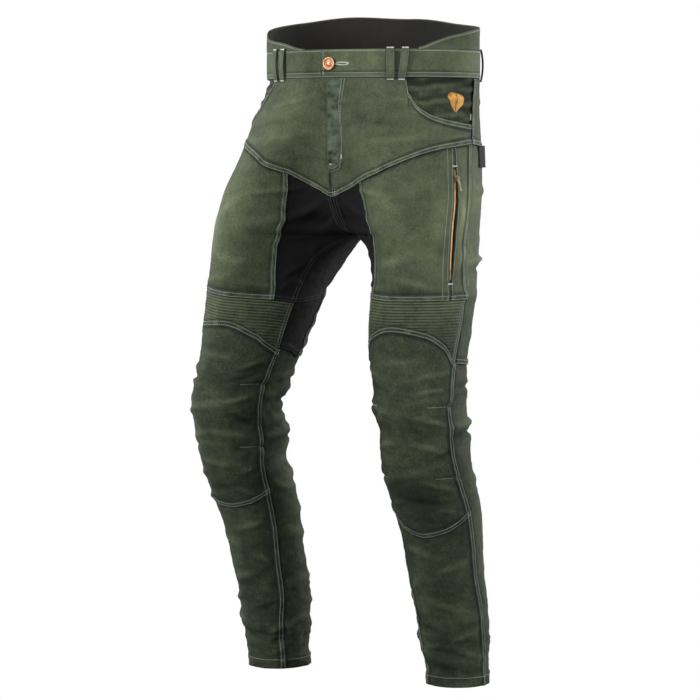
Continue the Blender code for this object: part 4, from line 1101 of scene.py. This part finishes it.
dart_lines = []
for side in SUFFIX:
    for height in DART_HEIGHTS[side]:
        for start, end in ((1.2, 4.9), (14.9, 11.6)):
            dart_lines.append(surface_line(side, (start, end), (height, height), 0.3 * MM,
                                           partial(dart_lift, side)))
sew("dart_stitches", dart_lines, THREAD)
band_lines = []
for name in ("waistband_cloth_left", "waistband_cloth_right"):
    for edge, distance in (("top", 2.6 * MM), ("bottom", 2.0 * MM), ("bottom", 7.6 * MM)):
        band_lines.append(edge_line(name, edge, distance))
band_lines.append(edge_line("waistband_cloth_left", "first", 2.4 * MM, 0.08, 0.92))
band_lines.append(edge_line("raised_back_cloth", "top", 3.0 * MM))
placket_lines = []
for distance in (1.6 * MM, 6.4 * MM):
    side_row = edge_line("fly_placket_cloth", "last", distance, 0.0, 0.80)
    low_row = edge_line("fly_placket_cloth", "bottom", distance, 0.12, 0.72)
    placket_lines.append((np.concatenate((side_row[0], low_row[0][::-1])),
                          np.concatenate((side_row[1], low_row[1][::-1]))))
for distance in (2.2 * MM, 6.0 * MM):
    placket_lines.append(edge_line("front_cloth_left", "first", distance, 0.83, 1.0))
sew("waistband_stitches", band_lines, THREAD)
sew("fly_stitches", placket_lines, THREAD)
sew("belt_loop_stitches", loop_lines, DULL_THREAD)
sew("belt_loop_tacks", loop_ends, THREAD, pitch=0.55 * MM, long=3.2 * MM, thick=0.7 * MM,
    across=True)


# Tack button and buttonhole
# A copper-plated tack button, 20 mm across, with a raised rim and a domed plain centre, worn
# bright on its high points.  The hole beside it is worked round in pale thread.
def worn_metal(name, base, deep, bright, roughness):
    """Plated metal: dark in its hollows and rubbed bright where it stands out."""
    material, tree, shader, place = new_material(name)
    cloud = noise_value(tree, place, 420.0, 6.0, 0.7)
    edge = add_node(tree, "ShaderNodeNewGeometry").outputs["Pointiness"]
    color = color_steps(tree, multiply_add(tree, cloud, 0.6, edge),
                        ((0.55, deep), (0.8, base), (0.98, bright)))
    set_inputs(shader, {"Base Color": color, "Metallic": 1.0, "Roughness": roughness,
                        "Normal": relief(tree, 0.3, 0.1 * MM, cloud)})
    return material


COPPER = worn_metal("worn_copper_plate", "#946244", "#35241b", "#d9b598", 0.42)
profile = ((0.0, 3.9), (2.6, 3.8), (4.4, 3.1), (5.4, 2.7), (6.6, 2.8), (7.4, 3.4), (8.6, 3.9),
           (9.5, 3.7), (10.0, 3.0), (9.9, 2.2), (9.0, 1.6), (5.0, 1.4), (5.0, 0.1), (0.0, 0.1))
bm = bmesh.new()
ring = [bm.verts.new((radius * MM, 0, height * MM)) for radius, height in profile]
edges = [bm.edges.new(pair) for pair in zip(ring, ring[1:])]
bmesh.ops.spin(bm, geom=ring + edges, cent=(0, 0, 0), axis=(0, 0, 1), angle=math.tau, steps=64,
               use_merge=True)
bmesh.ops.remove_doubles(bm, verts=bm.verts, dist=1e-6)
button_place, button_normal = waist_frame(-90.0, 0.0)
button_place = Vector(button_place + button_normal * (BAND_OUT + 0.3 * MM))
turn = Vector(button_normal.tolist()).to_track_quat("Z", "Y").to_matrix().to_4x4()
turn.translation = button_place
bm.transform(turn)
bmesh.ops.recalc_face_normals(bm, faces=bm.faces)
button = place_mesh("tack_button_cap", bm, COPPER)
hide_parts("tack_button")

HOLE_START = 10.5 * MM
HOLE_LONG = 22 * MM
turns = np.linspace(0, math.tau, 90)
hole_x = HOLE_START + HOLE_LONG / 2 + HOLE_LONG / 2 * np.cos(turns)
hole_z = 2.0 * MM * np.sin(turns)
hole_angles = -90 + np.degrees(hole_x / HALF_WIDTH)
hole_points, hole_normals = waist_frame(hole_angles, hole_z)
hole_lift = band_lift(hole_angles, hole_z, BAND_END_ANGLE)
hole_line = hole_points + hole_normals * (hole_lift + 0.2 * MM)[:, None]
sew("buttonhole_thread", [(hole_line, hole_normals)], THREAD, pitch=0.6 * MM, long=2.4 * MM,
    thick=0.6 * MM, across=True)


# Bar tacks
# Short dense bars of thread at the fly, the zip ends and the pocket corners.
def tack_bar(side, column, z, half_columns=0.0, half_height=0.0):
    """A short line over the cloth for one bar tack."""
    return surface_line(side, (column - half_columns, column + half_columns),
                        (z - half_height, z + half_height), 1.2 * MM)


tacks = []
for side in SUFFIX:
    tacks.append(tack_bar(side, ZIP_COLUMN, -157.5, half_columns=0.28))
    tacks.append(tack_bar(side, ZIP_COLUMN, -334.5, half_columns=0.28))
    tacks.append(tack_bar(side, 15.7, -82, half_height=5))
fly_tacks = (((24.5, -139), (24.5, -146)), ((0.6, -154), (5.6, -155)))
for (x0, z0), (x1, z1) in fly_tacks:
    tack_x = np.linspace(x0, x1, 8) * MM
    tack_z = np.linspace(z0, z1, 8) * MM
    tack_c = columns_at_x(tack_x, tack_z)
    tack_points, tack_normals, _ = form_frame(tack_c, tack_z)
    tack_lift = surface_lift(1, tack_c, tack_z, tack_points) + 1.6 * MM
    tacks.append((tack_points + tack_normals * tack_lift[:, None], tack_normals))
sew("bar_tacks", tacks, THREAD, pitch=0.6 * MM, long=2.4 * MM, thick=0.65 * MM, across=True)


# Thigh zips
# A closed metal zip in a slit between the front and outer thigh panels: black woven
# tape, brass teeth that lock along the middle, and a slider with a plain pull at the top.
BRASS = worn_metal("brass_teeth", "#c08440", "#5f3d1c", "#ecbe78", 0.4)
ANTIQUE = worn_metal("antique_plated_zinc", "#54453a", "#241d18", "#a08a76", 0.4)
TAPE = twill("black_zip_tape", ((0.0, "#040404"), (0.5, "#0b0b0b"), (1.0, "#171717")),
             "#0c0c0c", 0.1, 0.0)
TOOTH_PITCH = 3.0 * MM
TEETH_TOP = -161.0
TEETH_LOW = -331.0


def template_tooth():
    """One tooth: a small block with its edges taken off."""
    bm = bmesh.new()
    bmesh.ops.create_cube(bm, size=1.0)
    bmesh.ops.bevel(bm, geom=list(bm.edges), offset=0.16, affect="EDGES", segments=1,
                    profile=0.5, material=-1)
    bmesh.ops.triangulate(bm, faces=bm.faces)
    return read_shape(bm)


for side, suffix in SUFFIX.items():
    rows = []
    for offset, drop in ((-0.055, 0), (0.035, 0.95)):
        heights = np.linspace(TEETH_TOP, TEETH_LOW, 60) - drop
        rows.append(surface_line(side, np.full(60, ZIP_COLUMN + offset), heights, -1.5 * MM))
    sew(f"zip_teeth_{suffix}", rows, BRASS, pitch=TOOTH_PITCH, long=3.0 * MM, thick=1.7 * MM,
        across=True, shape=template_tooth())
    for node, finish in ((f"zip_tape_{suffix}", TAPE), (f"zip_slider_{suffix}", ANTIQUE),
                         (f"zip_pull_{suffix}", ANTIQUE)):
        for material_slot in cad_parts[node].material_slots:
            material_slot.material = finish


# Gold leaf on the pocket facing
# A small machine-embroidered leaf, 26 by 34 mm, satin stitches laid out from a middle vein.
GOLD_THREAD = thread_material("gold_thread", "#d8a23a", "#8f6416")
LEAF_COLUMN = 14.1
LEAF_Z = -60.0
LEAF_HALF_LONG = 15.0
LEAF_HALF_WIDE = 17.0
LEAF_ROWS = 36
LEAF_TILT = math.radians(12)
COLUMN_WIDE = 19.5   # millimetres a column on the facing


def leaf_place(across_mm, up_mm):
    """A point on the facing, from the leaf's middle, in millimetres across and up."""
    column = LEAF_COLUMN + np.asarray(across_mm, float) / COLUMN_WIDE
    z = (LEAF_Z + np.asarray(up_mm, float)) * MM
    points, normals, _ = form_frame(column, z)
    lift = facing_creases(column, z) - WALL - FACING_DEEP + 0.4 * MM
    return points + normals * lift[..., None], normals


leaf_lines = []
for k in range(LEAF_ROWS):
    t = -1 + 2 * (k + 0.5) / LEAF_ROWS
    half = LEAF_HALF_WIDE * (1 - t * t) ** 0.75 * (1 - 0.18 * t)
    for way in (-1, 1):
        reach = np.linspace(0.8, max(half, 1.6), 6)
        up = t * LEAF_HALF_LONG + reach * 0.62
        x = way * reach
        leaf_lines.append(leaf_place(x * math.cos(LEAF_TILT) + up * math.sin(LEAF_TILT),
                                     up * math.cos(LEAF_TILT) - x * math.sin(LEAF_TILT)))
sew("gold_leaf", leaf_lines, GOLD_THREAD, pitch=1.7 * MM, long=2.4 * MM, thick=0.85 * MM)


# Camera and light
# Photographed from the wearer's left front, a little above the middle, on plain white paper;
# one large soft box stands high on the left, a weaker one on the right, and four fill in.
TARGET = Vector((-0.0095, -0.0555, -0.4468))
CAMERA_TURN = math.radians(30)
CAMERA_RISE = math.radians(4)
CAMERA_AWAY = 4.5
FOCAL_SHARE = 2857.0 / 700   # focal length over the picture's width
back_way = Vector((math.sin(CAMERA_TURN) * math.cos(CAMERA_RISE),
                   -math.cos(CAMERA_TURN) * math.cos(CAMERA_RISE), math.sin(CAMERA_RISE)))
camera_data = bpy.data.cameras.new("camera")
camera_data.sensor_width = 36
camera_data.lens = FOCAL_SHARE * camera_data.sensor_width
camera = bpy.data.objects.new("camera", camera_data)
camera.location = TARGET + back_way * CAMERA_AWAY
camera.rotation_euler = back_way.to_track_quat("Z", "Y").to_euler()
bpy.context.scene.collection.objects.link(camera)
bpy.context.scene.camera = camera

LIGHT_AIM = Vector((0, -0.05, -0.45))
right_way = Vector((math.cos(CAMERA_TURN), math.sin(CAMERA_TURN), 0))
front_way = Vector((math.sin(CAMERA_TURN), -math.cos(CAMERA_TURN), 0))
for name, beside, ahead, up, size, power in (
        ("left_box", -2.7, 1.7, 0.9, 1.3, 120), ("right_box", 2.7, 1.3, 0.7, 1.2, 85),
        ("front_box", 0.2, 4.0, 1.2, 1.2, 34), ("top_box", 0.0, 0.7, 2.4, 1.2, 34),
        ("back_left_box", -2.4, -2.0, 0.7, 1.4, 80), ("back_right_box", 2.4, -2.0, 0.7, 1.4, 80)):
    light_data = bpy.data.lights.new(name, "AREA")
    light_data.shape = "SQUARE"
    light_data.size = size
    light_data.energy = power
    light = bpy.data.objects.new(name, light_data)
    light.location = right_way * beside + front_way * ahead + Vector((0, 0, up - 0.4))
    aim = light.location - LIGHT_AIM
    light.rotation_euler = aim.to_track_quat("Z", "Y").to_euler()
    bpy.context.scene.collection.objects.link(light)
world = bpy.data.worlds.new("white_paper")
bpy.context.scene.world = world
world.use_nodes = True
seen = add_node(world.node_tree, "ShaderNodeLightPath").outputs["Is Camera Ray"]
glow = add_node(world.node_tree, "ShaderNodeMapRange", inputs={
    "Value": seen, "To Min": 0.28, "To Max": 1.0}).outputs["Result"]
set_inputs(world.node_tree.nodes["Background"], {"Color": srgb("#ffffff"), "Strength": glow})
bpy.context.scene.view_settings.view_transform = "Standard"
